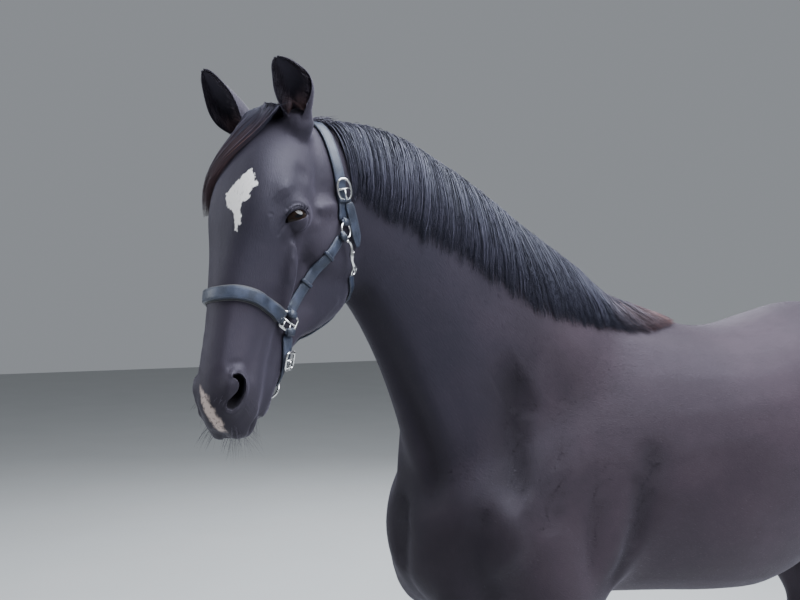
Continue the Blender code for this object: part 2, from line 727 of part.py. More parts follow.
def make_mane(tree):
    rings = []
    for i in range(MANE_STEPS):
        t = MANE_SPAN[0] + (MANE_SPAN[1] - MANE_SPAN[0]) * i / (MANE_STEPS - 1)
        end = min(i, MANE_STEPS - 1 - i)
        full = min(1.0, 0.6 + 0.25 * end)
        line = mane_line(tree, t, MANE_ACROSS)
        outer, inner = [], []
        for k, (point, normal) in enumerate(line):
            share = k / (MANE_ACROSS - 1)
            thick = 0.023 * full * (1 - 0.45 * share)
            outer.append(point + normal * thick)
            inner.append(point - normal * 0.022)
        rings.append(outer + inner[::-1])
    body = bmesh.new()
    crescent_loft(body, rings)
    return mesh_object("mane", body)


# distance left, behind and up in the head's own axes, half width, thickness
FORELOCK = [
    (0.002, 0.078, 0.054, 0.020, 0.012),
    (0.000, 0.050, 0.046, 0.028, 0.018),
    (-0.004, 0.016, 0.028, 0.034, 0.020),
    (-0.018, -0.018, -0.010, 0.040, 0.018),
    (-0.040, -0.030, -0.055, 0.040, 0.015),
    (-0.062, -0.026, -0.100, 0.032, 0.013),
    (-0.082, -0.010, -0.145, 0.024, 0.011),
    (-0.094, 0.005, -0.190, 0.010, 0.007),
]
FORELOCK_ACROSS = 4


def make_forelock(tree):
    place = head_matrix()
    rows = smooth_rows(FORELOCK, 8)
    rings = []
    for i, (x, y, z, w, thick) in enumerate(rows):
        here = place @ Vector((x, y, z))
        ahead = place @ Vector(rows[min(i + 1, len(rows) - 1)][:3])
        behind = place @ Vector(rows[max(i - 1, 0)][:3])
        normal = tree.find_nearest(here)[1]
        across = (ahead - behind).cross(normal).normalized()
        outer, inner = [], []
        for k in range(FORELOCK_ACROSS):
            share = 2 * k / (FORELOCK_ACROSS - 1) - 1
            point, out, _, _ = tree.find_nearest(here + across * w * share)
            outer.append(point + out * thick * (1 - 0.6 * share * share))
            inner.append(point - out * 0.008)
        rings.append(outer + inner[::-1])
    body = bmesh.new()
    crescent_loft(body, rings)
    return mesh_object("forelock", body)


# distance back and up, half width, half depth: the dock and the hair that hangs from it
TAIL = [
    (0.770, 1.490, 0.030, 0.030),
    (0.830, 1.480, 0.038, 0.034),
    (0.885, 1.420, 0.046, 0.040),
    (0.915, 1.320, 0.062, 0.046),
    (0.925, 1.180, 0.078, 0.052),
    (0.925, 1.000, 0.086, 0.056),
    (0.920, 0.820, 0.082, 0.054),
    (0.915, 0.660, 0.070, 0.048),
    (0.910, 0.540, 0.052, 0.038),
    (0.908, 0.450, 0.026, 0.020),
]


def make_tail():
    rows = smooth_rows([(0, *row) for row in TAIL], 11)
    rings = []
    for i, (x, y, z, w, d) in enumerate(rows):
        ahead, behind = rows[min(i + 1, len(rows) - 1)], rows[max(i - 1, 0)]
        along = Vector((0, ahead[1] - behind[1], ahead[2] - behind[2])).normalized()
        side = Vector((1, 0, 0))
        up = side.cross(along)
        rings.append(ring_points(Vector((x, y, z)), side, up, w, d, d, 2.0, 2.0)[::3])
    body = bmesh.new()
    loft(body, rings)
    return mesh_object("tail", body)


# ---------------------------------------------------------------- headcollar, in the head's own axes

STRAP_WIDTH = 0.025
STRAP_THICK = 0.004
STRAP_RISE = 0.0025  # how far a strap's underside stands off the coat
NOSEBAND = [
    (0.050, 0.108, -0.381), (0.056, 0.066, -0.375), (0.050, 0.022, -0.367), (0.032, -0.008, -0.371), (0, -0.016, -0.380),
]
CHIN_STRAP = [(0.050, 0.134, -0.404), (0.046, 0.150, -0.435), (0.036, 0.158, -0.470), (0, 0.160, -0.497)]
CROWN = [
    (0.074, 0.186, -0.156), (0.080, 0.165, -0.095), (0.068, 0.135, -0.035),
    (0.040, 0.116, 0.030), (0, 0.108, 0.050),
]
THROATLATCH = [
    (0.064, 0.262, -0.236), (0.052, 0.288, -0.256), (0.030, 0.305, -0.268), (0, 0.312, -0.268),
    (-0.035, 0.300, -0.250), (-0.060, 0.262, -0.225), (-0.070, 0.215, -0.192),
]
CHEEK_STRAP = [(0.052, 0.128, -0.362), (0.062, 0.146, -0.298), (0.074, 0.166, -0.235), (0.076, 0.184, -0.190)]
JOWL_STRAP = [(0, 0.204, -0.452), (0, 0.234, -0.405), (0, 0.270, -0.345), (0, 0.300, -0.295)]
BILLET = [(0.080, 0.186, -0.112), (0.082, 0.214, -0.145), (0.078, 0.242, -0.184)]
SNAP = [
    (0.076, 0.192, -0.194), (0.076, 0.207, -0.188), (0.074, 0.216, -0.198), (0.073, 0.214, -0.210),
    (0.071, 0.220, -0.220), (0.069, 0.234, -0.222), (0.067, 0.250, -0.228),
]
SQUARE = (0.050, 0.126, -0.382)
RING = (0.075, 0.189, -0.174)
CROWN_BUCKLE = (0.078, 0.168, -0.094)
CHIN_BUCKLE = (0.043, 0.154, -0.448)
CHIN_RING = (0, 0.172, -0.500)


def mirrored(path):
    """The path and its reflection, as one run from the left to the right."""
    return path + [(-x, y, z) for x, y, z in reversed(path[:-1])]


def clear_of(tree, point, rise):
    """The point, lifted to stand at least that far off the surface, and the way out there."""
    near, out, _, _ = tree.find_nearest(point)
    off = (point - near).dot(out)
    return (point + out * (rise - off) if off < rise else point), out


def laid_path(tree, path, steps, rise):
    """World points of a path drawn taut over the surface."""
    place = head_matrix()
    points = []
    for x, y, z in smooth_rows(path, steps):
        near, out, _, _ = tree.find_nearest(place @ Vector((x, y, z)))
        points.append(near + out * rise)
    for _ in range(12):
        for k in range(1, steps - 1):
            even = (points[k - 1] + points[k + 1]) / 2
            points[k] = clear_of(tree, points[k].lerp(even, 0.5), rise)[0]
    return points


def make_strap(name, tree, path, steps, width=STRAP_WIDTH, rise=STRAP_RISE):
    points = laid_path(tree, path, steps, rise)
    ways = []
    for k in range(steps):
        along = (points[min(k + 1, steps - 1)] - points[max(k - 1, 0)]).normalized()
        out = tree.find_nearest(points[k])[1]
        ways.append((out - along * along.dot(out)).normalized())
    for _ in range(3):
        ways = [
            (ways[max(k - 1, 0)] + ways[k] * 2 + ways[min(k + 1, steps - 1)]).normalized()
            for k in range(steps)
        ]
    rings = []
    for k in range(steps):
        along = (points[min(k + 1, steps - 1)] - points[max(k - 1, 0)]).normalized()
        across = along.cross(ways[k]).normalized() * width / 2
        under = [clear_of(tree, points[k] + across * share, rise)[0] for share in (-1, 0, 1)]
        over = [p + ways[k] * STRAP_THICK for p in under]
        rings.append(over + under[::-1])
    body = bmesh.new()
    crescent_loft(body, rings)
    return mesh_object(name, body)


def make_tube(name, points, radius, closed=True, sides=5):
    """A bent rod through the points, joined into a ring or with closed ends."""
    count = len(points)
    rings = []
    for k, point in enumerate(points):
        ahead = points[(k + 1) % count] if closed or k < count - 1 else point
        behind = points[k - 1] if closed or k > 0 else point
        along = (ahead - behind).normalized()
        side = along.cross(make_tube.out).normalized()
        up = side.cross(along)
        rings.append(
            [
                point + (side * math.cos(2 * math.pi * j / sides) + up * math.sin(2 * math.pi * j / sides)) * radius
                for j in range(sides)
            ]
        )
    body = bmesh.new()
    if closed:
        rows = [[body.verts.new(p) for p in ring] for ring in rings]
        for a, b in zip(rows, rows[1:] + rows[:1]):
            for k in range(sides):
                n = (k + 1) % sides
                body.faces.new((a[k], a[n], b[n], b[k]))
    else:
        loft(body, rings)
    return mesh_object(name, body)


def make_frame(name, tree, spot, toward, half_long, half_wide, radius, squareness, lift, count=10):
    """A metal loop lying on the surface at a spot, its length pointing toward another spot."""
    place = head_matrix()
    near, out, _, _ = tree.find_nearest(place @ Vector(spot))
    long = place @ Vector(toward) - near
    long = (long - out * out.dot(long)).normalized()
    wide = long.cross(out)
    centre = near + out * (STRAP_RISE + STRAP_THICK + radius + lift)
    points = []
    for k in range(count):
        turn = 2 * math.pi * (k + 0.5) / count
        c, s = math.cos(turn), math.sin(turn)
        points.append(
            centre
            + long * half_long * math.copysign(abs(c) ** squareness, c)
            + wide * half_wide * math.copysign(abs(s) ** squareness, s)
        )
    make_tube.out = out
    return make_tube(name, points, radius)


def other_side(spot):
    return (-spot[0], spot[1], spot[2])


def make_headcollar(tree):
    make_strap("noseband", tree, mirrored(NOSEBAND), 15)
    make_strap("chin_strap", tree, mirrored(CHIN_STRAP), 13)
    make_strap("crown_strap", tree, mirrored(CROWN), 19)
    make_strap("throatlatch", tree, THROATLATCH, 15, 0.018)
    make_strap("jowl_strap", tree, JOWL_STRAP, 6, 0.018)
    make_strap("billet", tree, BILLET, 5, 0.022, STRAP_RISE + STRAP_THICK)
    for name, flip in (("left", 1), ("right", -1)):
        turn = (lambda p: p) if flip > 0 else other_side
        make_strap("cheek_strap_" + name, tree, [turn(p) for p in CHEEK_STRAP], 8, 0.022)
        make_frame("square_" + name, tree, turn(SQUARE), turn(CHEEK_STRAP[1]), 0.017, 0.017, 0.0028, 0.35, 0.0012)
        make_frame("ring_" + name, tree, turn(RING), turn(CROWN[1]), 0.015, 0.015, 0.0026, 1.0, 0.0012)
    make_frame("crown_buckle", tree, CROWN_BUCKLE, CROWN[2], 0.021, 0.015, 0.0026, 0.9, 0.006)
    make_frame("chin_buckle", tree, CHIN_BUCKLE, CHIN_STRAP[0], 0.016, 0.015, 0.0026, 0.5, 0.0012)
    make_frame("chin_ring", tree, CHIN_RING, CHIN_STRAP[0], 0.016, 0.016, 0.0026, 1.0, 0.0012)
    points = laid_path(tree, SNAP, 9, STRAP_RISE + 0.010)
    make_tube.out = tree.find_nearest(points[4])[1]
    make_tube("snap", points, 0.0030, closed=False)


def fit_headcollar(head):
    """Trims what wraps what: the leather clears the head and the metal, and the billet the crown strap."""
    pieces = {thing.name: thing for thing in bpy.context.scene.objects}
    metal = [pieces[name] for name in pieces if finish_of(name) == "metal"]
    for name in [name for name in pieces if finish_of(name) == "leather"]:
        others = [head] + [m for m in metal if near_by(m, pieces[name])]
        if name == "billet":
            others.append(bpy.data.objects["crown_strap"])
        trim(pieces[name], others)


def near_by(a, b):
    """Whether the boxes of two pieces meet."""
    boxes = [[Vector(c) for c in thing.bound_box] for thing in (a, b)]
    low = [[min(c[i] for c in box) for i in range(3)] for box in boxes]
    high = [[max(c[i] for c in box) for i in range(3)] for box in boxes]
    return all(low[0][i] < high[1][i] and low[1][i] < high[0][i] for i in range(3))


# ---------------------------------------------------------------- materials, and the model's own origin

# colour, metallic, roughness
FINISHES = {
    "coat": ((0.018, 0.013, 0.012), 0.0, 0.42),
    "hair": ((0.012, 0.010, 0.011), 0.0, 0.45),
    "horn": ((0.055, 0.045, 0.040), 0.0, 0.45),
    "eye": ((0.010, 0.006, 0.004), 0.0, 0.08),
    "leather": ((0.012, 0.014, 0.022), 0.0, 0.38),
    "metal": ((0.78, 0.78, 0.76), 1.0, 0.22),
}
WEARS = {
    "hair": ("mane", "forelock", "tail"),
    "horn": ("hoof",),
    "eye": ("eye",),
    "leather": ("noseband", "chin_strap", "crown_strap", "throatlatch", "jowl", "billet", "cheek"),
    "metal": ("square", "ring", "crown_buckle", "chin_buckle", "chin_ring", "snap"),
}


def finish_of(name):
    return next((k for k, starts in WEARS.items() if name.startswith(starts)), "coat")


def paint_all():
    for thing in bpy.context.scene.objects:
        colour, metallic, roughness = FINISHES[finish_of(thing.name)]
        material = bpy.data.materials.new(thing.name)
        material.use_nodes = True
        shader = material.node_tree.nodes["Principled BSDF"]
        shader.inputs["Base Color"].default_value = (*colour, 1)
        shader.inputs["Metallic"].default_value = metallic
        shader.inputs["Roughness"].default_value = roughness
        thing.data.materials.clear()
        thing.data.materials.append(material)


def centre_all():
    """Moves every piece so that the model stands on Z = 0 with its box centred on the origin."""
    things = list(bpy.context.scene.objects)
    places = np.concatenate([points_of(thing.data) for thing in things])
    low, high = places.min(0), places.max(0)
    shift = Vector((-(low[0] + high[0]) / 2, -(low[1] + high[1]) / 2, -low[2]))
    for thing in things:
        thing.data.transform(Matrix.Translation(shift))
    return shift


def main():
    clear_scene()
    flesh = make_flesh()
    fine = BVHTree.FromObject(flesh, bpy.context.evaluated_depsgraph_get())
    lighten(flesh, FLESH_TRIANGLES)
    tree = BVHTree.FromObject(flesh, bpy.context.evaluated_depsgraph_get())
    mane = make_mane(tree)
    forelock = make_forelock(tree)
    tail = make_tail()
    upper, legs = halves(flesh, (0, 0, 0.826), (0, 0, 1))
    front, trunk = halves(upper, (0, -0.62, 1.42), (0, -0.72, 0.69))
    neck, head = halves(front, *head_plane(0.212, -0.045, (0, 0.8, 0.6)))
    trunk.name, neck.name, head.name = "trunk", "neck", "head"
    for leg in loose_parts(legs):
        middle = sum((Vector(c) for c in leg.bound_box), Vector()) / 8
        kind = ("fore" if middle.y < 0 else "hind") + ("_left" if middle.x > 0 else "_right")
        top, table = (FORE_TOP, FORELEG) if kind.startswith("fore") else (HIND_TOP, HINDLEG)
        sign = 1 if kind.endswith("left") else -1
        x, y = sign * table[-1][1], table[-2][2] + swing(0.08, top, STRIDES[kind])
        leg, rest = halves(leg, *coronet(x, y))
        bpy.data.objects.remove(rest)
        leg.name = kind.replace("_", "leg_")
        make_hoof("hoof_" + kind, x, y)
    ears = [trim(make_ear(side), [head]) for side in ("left", "right")]
    for side in (1, -1):
        body = bmesh.new()
        centre = head_matrix() @ (EYE_CENTRE * Vector((side, 1, 1)))
        bmesh.ops.create_uvsphere(
            body, u_segments=12, v_segments=8, radius=EYE_RADIUS, matrix=Matrix.Translation(centre)
        )
        eye = mesh_object("eye_left" if side > 0 else "eye_right", body)
        cutter = swollen(eye, GAP)
        subtract(head, cutter)
        bpy.data.objects.remove(cutter)
    head = keep_biggest(head)
    mane = trim(mane, [neck, trunk, head], 3 * GAP)
    forelock = trim(forelock, [head] + ears)
    tail = trim(tail, [trunk])
    make_headcollar(fine)
    fit_headcollar(head)
    paint_all()
    print("moved by", [round(c, 6) for c in centre_all()])


main()
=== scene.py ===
"""A life-size standing horse in a leather headcollar: its skin, coat, hair, eyes, hooves and tack.

Metres, X to the horse's left, -Y forward, Z up, the soles of the hooves on Z = 0.
"""

import math

import bmesh
import bpy
import numpy as np
from mathutils import Matrix, Vector
from mathutils.bvhtree import BVHTree


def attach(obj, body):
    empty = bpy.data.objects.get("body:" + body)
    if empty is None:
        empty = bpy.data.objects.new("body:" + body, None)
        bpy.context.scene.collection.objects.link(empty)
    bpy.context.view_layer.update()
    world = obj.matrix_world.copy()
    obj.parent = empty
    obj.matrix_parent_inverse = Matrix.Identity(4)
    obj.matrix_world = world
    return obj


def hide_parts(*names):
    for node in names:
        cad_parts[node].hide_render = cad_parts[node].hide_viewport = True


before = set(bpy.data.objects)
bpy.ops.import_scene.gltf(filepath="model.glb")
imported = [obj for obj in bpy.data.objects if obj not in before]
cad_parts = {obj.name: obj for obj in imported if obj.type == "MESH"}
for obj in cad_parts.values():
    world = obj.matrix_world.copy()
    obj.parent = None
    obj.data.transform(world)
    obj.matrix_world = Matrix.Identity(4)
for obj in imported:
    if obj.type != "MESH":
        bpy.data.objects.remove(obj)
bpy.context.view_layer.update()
for thing in bpy.context.selected_objects:
    thing.select_set(False)

SIDES = (("left", 1), ("right", -1))  # names, and the way X points on them
FLIPS = {side: Vector((side, 1, 1)) for _, side in SIDES}

# ================================================================ skin
# One hide from the muzzle to the coronets. It is lofted from sections, bulked out with the muscles
# that show through it, fused into one closed surface and then worked over as clay is.

MOVED = Vector((-0.005684, 0.209109, 0.0))  # from the tables' origin, under the chest, to the model's own
MOVED_BY = np.array(MOVED)
COAT_DEPTH = 0.002  # how far the skin is drawn in, to leave room for the hair
BODY_CELL = 0.012  # of the voxels that fuse trunk, neck and legs
SKIN_CELL = 0.0068  # of those that fuse the head on
SKIN_FACES = 66000  # after it is lightened
SECTION = 27  # points round a lofted section
# The pose: the neck is carried up and bent to the left, and the head turns further left.
POLL = Vector((0.123, -1.235, 1.992))
HEAD_YAW = math.radians(23)
HEAD_NOSE_OUT = math.radians(21)
HEAD_ROLL = math.radians(-7)
HEAD_SCALE = 1.025


def smooth_rows(rows, count):
    """The rows resampled on a smooth curve, evenly by the distance between their first three numbers."""
    rows = np.array(rows, float)
    along = np.concatenate([[0], np.cumsum(np.linalg.norm(np.diff(rows[:, :3], axis=0), axis=1))])
    slopes = np.gradient(rows, along, axis=0)
    at = np.linspace(0, along[-1], count)
    i = np.clip(np.searchsorted(along, at, side="right") - 1, 0, len(rows) - 2)
    step = (along[i + 1] - along[i])[:, None]
    t = ((at - along[i]) / step[:, 0])[:, None]
    return (
        rows[i] * (1 + 2 * t) * (1 - t) ** 2
        + rows[i + 1] * t * t * (3 - 2 * t)
        + slopes[i] * step * t * (1 - t) ** 2
        - slopes[i + 1] * step * t * t * (1 - t)
    )


def bowed(value, power):
    """A sine or cosine raised to a power, with its own sign."""
    return math.copysign(abs(value) ** power, value)


def ring_points(centre, side, up, half_width, above, below, roof, keel):
    """One closed section: a superellipse whose upper and lower halves have their own height and fullness."""
    points = []
    for k in range(SECTION):
        turn = 2 * math.pi * k / SECTION
        c, s = math.cos(turn), math.sin(turn)
        full = roof if s >= 0 else keel
        across = half_width * bowed(c, 2 / full)
        rise = (above if s >= 0 else below) * bowed(s, 2 / full)
        points.append(centre + side * across + up * rise)
    return points


def loft(body, rings):
    """Adds a closed skin through the rings to the bmesh."""
    rows = [[body.verts.new(p) for p in ring] for ring in rings]
    size = len(rows[0])
    for a, b in zip(rows, rows[1:]):
        for k in range(size):
            n = (k + 1) % size
            body.faces.new((a[k], a[n], b[n], b[k]))
    for row in (rows[0], rows[-1]):
        middle = body.verts.new(sum((v.co for v in row), Vector()) / size)
        for k in range(size):
            n = (k + 1) % size
            body.faces.new((row[n], row[k], middle) if row is rows[0] else (row[k], row[n], middle))


def muscle(body, start, end, wide, thick, facing, place=Matrix.Identity(4), ends=1.12):
    """Adds a flattened spindle: wide is its half width, thick its half thickness along facing."""
    start, end = Vector(start), Vector(end)
    along = (end - start).normalized()
    out = (Vector(facing) - along * along.dot(Vector(facing))).normalized()
    turn = Matrix((along, out.cross(along), out)).transposed().to_4x4()
    size = Matrix.Diagonal(((end - start).length / 2 * ends, wide, thick, 1))
    where = place @ Matrix.Translation((start + end) / 2) @ turn @ size
    turns = [math.tau * k / 20 for k in range(20)]
    rings = []
    for j in range(1, 12):
        reach, ahead = math.sin(math.pi * j / 12), -math.cos(math.pi * j / 12)
        rings.append([where @ Vector((ahead, reach * math.cos(a), reach * math.sin(a))) for a in turns])
    loft(body, rings)


def both_sides(body, start, end, wide, thick, facing, place=Matrix.Identity(4)):
    for side in (1, -1):
        flip = FLIPS[side]
        muscle(body, Vector(start) * flip, Vector(end) * flip, wide, thick, Vector(facing) * flip, place)


# position from front to back, height of the widest line, half width, reach above and below it,
# fullness above and below
TRUNK = [
    (-0.850, 1.100, 0.080, 0.060, 0.090, 2.0, 2.0),
    (-0.800, 1.120, 0.155, 0.150, 0.185, 2.0, 2.0),
    (-0.700, 1.140, 0.200, 0.220, 0.252, 2.0, 2.0),
    (-0.560, 1.170, 0.215, 0.330, 0.272, 1.8, 2.1),
    (-0.420, 1.180, 0.222, 0.420, 0.275, 1.6, 2.2),
    (-0.300, 1.180, 0.235, 0.455, 0.292, 1.55, 2.2),
    (-0.130, 1.190, 0.265, 0.408, 0.322, 1.8, 2.3),
    (0.050, 1.200, 0.290, 0.365, 0.355, 2.1, 2.4),
    (0.200, 1.210, 0.290, 0.360, 0.372, 2.2, 2.4),
    (0.350, 1.240, 0.275, 0.365, 0.365, 2.1, 2.3),
    (0.480, 1.270, 0.252, 0.362, 0.312, 2.0, 2.2),
    (0.620, 1.290, 0.228, 0.320, 0.235, 2.0, 2.0),
    (0.740, 1.300, 0.180, 0.235, 0.150, 2.0, 2.0),
    (0.820, 1.310, 0.100, 0.130, 0.100, 2.0, 2.0),
]

# muscles of the left side: start, end, half width, half thickness, the way they face
TRUNK_MUSCLES = [
    ((0.050, -0.34, 1.560), (0.150, -0.74, 1.130), 0.115, 0.065, (1, -0.2, 0.2)),  # shoulder blade
    ((0.140, -0.36, 1.300), (0.175, -0.42, 0.960), 0.125, 0.070, (1, 0, 0)),  # triceps
    ((0.140, -0.70, 1.210), (0.172, -0.71, 1.030), 0.085, 0.052, (0.8, -1, 0)),  # point of shoulder
    ((0.066, -0.70, 1.255), (0.092, -0.725, 0.905), 0.085, 0.118, (0, -1, 0)),  # breast
    ((0.035, -0.725, 1.470), (0.050, -0.745, 1.060), 0.080, 0.100, (0, -1, 0)),  # foot of the neck
    ((0.080, -0.62, 0.945), (0.060, -0.30, 0.925), 0.070, 0.050, (0, 0, -1)),  # deep breast
    ((0.060, 0.250, 1.500), (0.150, 0.650, 1.380), 0.130, 0.090, (0.7, 0, 0.7)),  # gluteal
    ((0.185, 0.310, 1.430), (0.205, 0.400, 1.400), 0.070, 0.050, (1, 0, 0.3)),  # point of hip
    ((0.095, 0.600, 1.440), (0.115, 0.760, 1.150), 0.105, 0.085, (0.5, 1, 0)),  # hamstring
    ((0.160, 0.400, 1.380), (0.185, 0.460, 1.060), 0.110, 0.075, (1, -0.2, 0)),  # quadriceps
    ((0.155, 0.390, 1.060), (0.120, 0.180, 0.985), 0.050, 0.030, (1, 0, 0)),  # fold of the flank
]


def add_trunk(body):
    rings = [
        ring_points(Vector((0, y, z)), Vector((1, 0, 0)), Vector((0, 0, 1)), w, up, down, roof, keel)
        for y, z, w, up, down, roof, keel in smooth_rows(TRUNK, 44)
    ]
    loft(body, rings)
    for row in TRUNK_MUSCLES:
        both_sides(body, *row)


# height, distance out, distance back, half width, reach forward and back, fullness
FORELEG = [
    (1.120, 0.150, -0.600, 0.080, 0.110, 0.150, 2.0),
    (1.000, 0.155, -0.560, 0.080, 0.110, 0.140, 2.0),
    (0.900, 0.155, -0.540, 0.072, 0.095, 0.110, 2.0),
    (0.800, 0.150, -0.535, 0.062, 0.080, 0.080, 2.0),
    (0.680, 0.145, -0.535, 0.048, 0.056, 0.056, 2.0),
    (0.580, 0.142, -0.535, 0.042, 0.044, 0.044, 2.1),
    (0.510, 0.140, -0.540, 0.050, 0.047, 0.046, 2.4),
    (0.450, 0.140, -0.538, 0.046, 0.042, 0.046, 2.4),
    (0.400, 0.140, -0.535, 0.030, 0.029, 0.042, 2.1),
    (0.320, 0.140, -0.535, 0.026, 0.026, 0.037, 2.1),
    (0.265, 0.140, -0.535, 0.031, 0.030, 0.042, 2.1),
    (0.230, 0.140, -0.537, 0.036, 0.037, 0.050, 2.1),
    (0.190, 0.140, -0.552, 0.031, 0.032, 0.040, 2.0),
    (0.145, 0.140, -0.574, 0.031, 0.031, 0.034, 2.0),
    (0.100, 0.140, -0.594, 0.048, 0.046, 0.046, 2.0),
    (0.060, 0.140, -0.606, 0.052, 0.052, 0.050, 2.0),
]
HINDLEG = [
    (1.320, 0.120, 0.560, 0.110, 0.170, 0.190, 2.0),
    (1.180, 0.140, 0.545, 0.110, 0.170, 0.235, 2.1),
    (1.060, 0.145, 0.540, 0.098, 0.155, 0.215, 2.1),
    (0.950, 0.145, 0.580, 0.078, 0.125, 0.145, 2.0),
    (0.850, 0.140, 0.640, 0.060, 0.090, 0.095, 2.0),
    (0.760, 0.138, 0.700, 0.046, 0.064, 0.080, 2.0),
    (0.680, 0.136, 0.745, 0.040, 0.054, 0.098, 1.9),
    (0.620, 0.136, 0.765, 0.046, 0.058, 0.092, 2.1),
    (0.560, 0.136, 0.775, 0.048, 0.056, 0.064, 2.3),
    (0.490, 0.136, 0.785, 0.036, 0.038, 0.050, 2.2),
    (0.420, 0.136, 0.790, 0.028, 0.028, 0.042, 2.1),
    (0.330, 0.136, 0.792, 0.027, 0.027, 0.038, 2.1),
    (0.280, 0.136, 0.792, 0.032, 0.031, 0.044, 2.1),
    (0.245, 0.136, 0.790, 0.037, 0.037, 0.051, 2.1),
    (0.200, 0.136, 0.774, 0.031, 0.032, 0.040, 2.0),
    (0.150, 0.136, 0.752, 0.031, 0.031, 0.034, 2.0),
    (0.100, 0.136, 0.732, 0.047, 0.046, 0.046, 2.0),
    (0.060, 0.136, 0.720, 0.050, 0.052, 0.050, 2.0),
]
FORE_MUSCLES = [
    ((0.165, -0.600, 1.000), (0.160, -0.575, 0.700), 0.055, 0.045, (0.3, -1, 0)),  # extensors
    ((0.150, -0.450, 0.980), (0.148, -0.510, 0.680), 0.055, 0.045, (0, 1, 0)),  # flexors
    ((0.140, -0.400, 0.980), (0.150, -0.440, 0.900), 0.050, 0.045, (0.2, 1, 0)),  # elbow
    ((0.140, -0.492, 0.490), (0.140, -0.498, 0.455), 0.024, 0.018, (0, 1, 0)),  # back of the knee
]
HIND_MUSCLES = [
    ((0.165, 0.385, 1.080), (0.165, 0.415, 1.000), 0.055, 0.050, (0.3, -1, 0)),  # stifle
    ((0.165, 0.530, 1.040), (0.150, 0.660, 0.780), 0.065, 0.045, (1, 0, 0)),  # gaskin
    ((0.130, 0.700, 1.000), (0.137, 0.790, 0.760), 0.045, 0.034, (0, 1, 0)),  # calf
    ((0.136, 0.775, 0.820), (0.136, 0.855, 0.670), 0.017, 0.019, (0, 1, 0)),  # hamstring tendon
    ((0.136, 0.845, 0.680), (0.136, 0.838, 0.600), 0.022, 0.020, (0, 1, 0)),  # point of hock
]
FORE_TOP = 1.12
HIND_TOP = 1.32
# how far each hoof stands ahead of (-) or behind (+) the square position
STRIDES = {"fore_left": 0.03, "fore_right": -0.05, "hind_left": 0.05, "hind_right": -0.09}


def swing(z, top, stride):
    """How far a leg standing off square has moved at a height."""
    return stride * min(1.0, max(0.0, (top - z) / top)) ** 1.1


def add_leg(body, name):
    front, side = name.split("_")
    table, muscles, top = (
        (FORELEG, FORE_MUSCLES, FORE_TOP) if front == "fore" else (HINDLEG, HIND_MUSCLES, HIND_TOP)
    )
    sign, stride = (1 if side == "left" else -1), STRIDES[name]
    rows = smooth_rows([(z, x, y, w, f, b, n) for z, x, y, w, f, b, n in table], 60)
    rings = []
    for z, x, y, w, forward, back, full in rows:
        centre = Vector((sign * x, y + swing(z, top, stride), z))
        rings.append(
            ring_points(centre, Vector((1, 0, 0)), Vector((0, -1, 0)), w, forward, back, full, full)
        )
    loft(body, rings)
    for start, end, wide, thick, facing in muscles:
        ends = [
            Vector((sign * p[0], p[1] + swing(p[2], top, stride), p[2])) for p in (start, end)
        ]
        muscle(body, *ends, wide, thick, Vector(facing) * Vector((sign, 1, 1)))


# share of the way from the withers to the poll, half width, reach to the crest, reach to the throat
NECK = [
    (0.00, 0.165, 0.300, 0.405),
    (0.20, 0.155, 0.265, 0.426),
    (0.40, 0.125, 0.210, 0.345),
    (0.60, 0.102, 0.184, 0.262),
    (0.80, 0.086, 0.168, 0.190),
    (1.00, 0.074, 0.118, 0.135),
]
NECK_PATH = [Vector((0, -0.36, 1.32)), Vector((0.01, -0.60, 1.62)), Vector((0.05, -0.88, 1.86))]
NECK_TOP = Vector((0, 0.10, -0.09))  # in the head's own axes


def head_matrix():
    """Carries the head's own axes, with X its left, Y back from the face and Z up the face, to its place."""
    turn = (
        Matrix.Rotation(HEAD_YAW, 4, "Z")
        @ Matrix.Rotation(-HEAD_NOSE_OUT, 4, "X")
        @ Matrix.Rotation(HEAD_ROLL, 4, "Y")
    )
    return Matrix.Translation(POLL) @ turn @ Matrix.Scale(HEAD_SCALE, 4)


def neck_frame(t):
    """Centre, left and crestward directions at a share of the way up the neck."""
    a, b, c = NECK_PATH
    d = head_matrix() @ NECK_TOP
    u = 1 - t
    at = a * u**3 + b * 3 * u * u * t + c * 3 * u * t * t + d * t**3
    along = ((b - a) * u * u + (c - b) * 2 * u * t + (d - c) * t * t).normalized()
    left = along.cross(Vector((0, 0, -1))).normalized()
    return at, left, left.cross(along).normalized() * -1


def add_neck(body):
    rings = []
    for t, w, crestward, throatward in smooth_rows([(r[0], 0, 0, *r[1:]) for r in NECK], 36)[:, [0, 3, 4, 5]]:
        at, left, crest = neck_frame(t)
        rings.append(ring_points(at, left, crest, w, crestward, throatward, 1.7, 2.1))
    loft(body, rings)


# distance down the face, centre depth behind the face line, half width, reach forward and back,
# fullness front and back
SKULL = [
    (0.020, 0.085, 0.042, 0.050, 0.055, 2.0, 2.0),
    (-0.030, 0.075, 0.068, 0.078, 0.080, 2.0, 2.0),
    (-0.090, 0.062, 0.084, 0.088, 0.100, 2.3, 2.0),
    (-0.150, 0.052, 0.092, 0.088, 0.110, 2.6, 2.0),
    (-0.210, 0.050, 0.088, 0.086, 0.110, 2.7, 2.0),
    (-0.280, 0.055, 0.073, 0.082, 0.090, 2.5, 2.0),
    (-0.350, 0.060, 0.061, 0.080, 0.070, 2.3, 2.0),
    (-0.420, 0.063, 0.053, 0.074, 0.060, 2.2, 2.0),
    (-0.480, 0.064, 0.051, 0.070, 0.058, 2.2, 2.0),
    (-0.530, 0.068, 0.053, 0.068, 0.050, 2.2, 2.2),
    (-0.575, 0.074, 0.050, 0.060, 0.042, 2.2, 2.2),
    (-0.605, 0.080, 0.038, 0.040, 0.034, 2.0, 2.0),
]
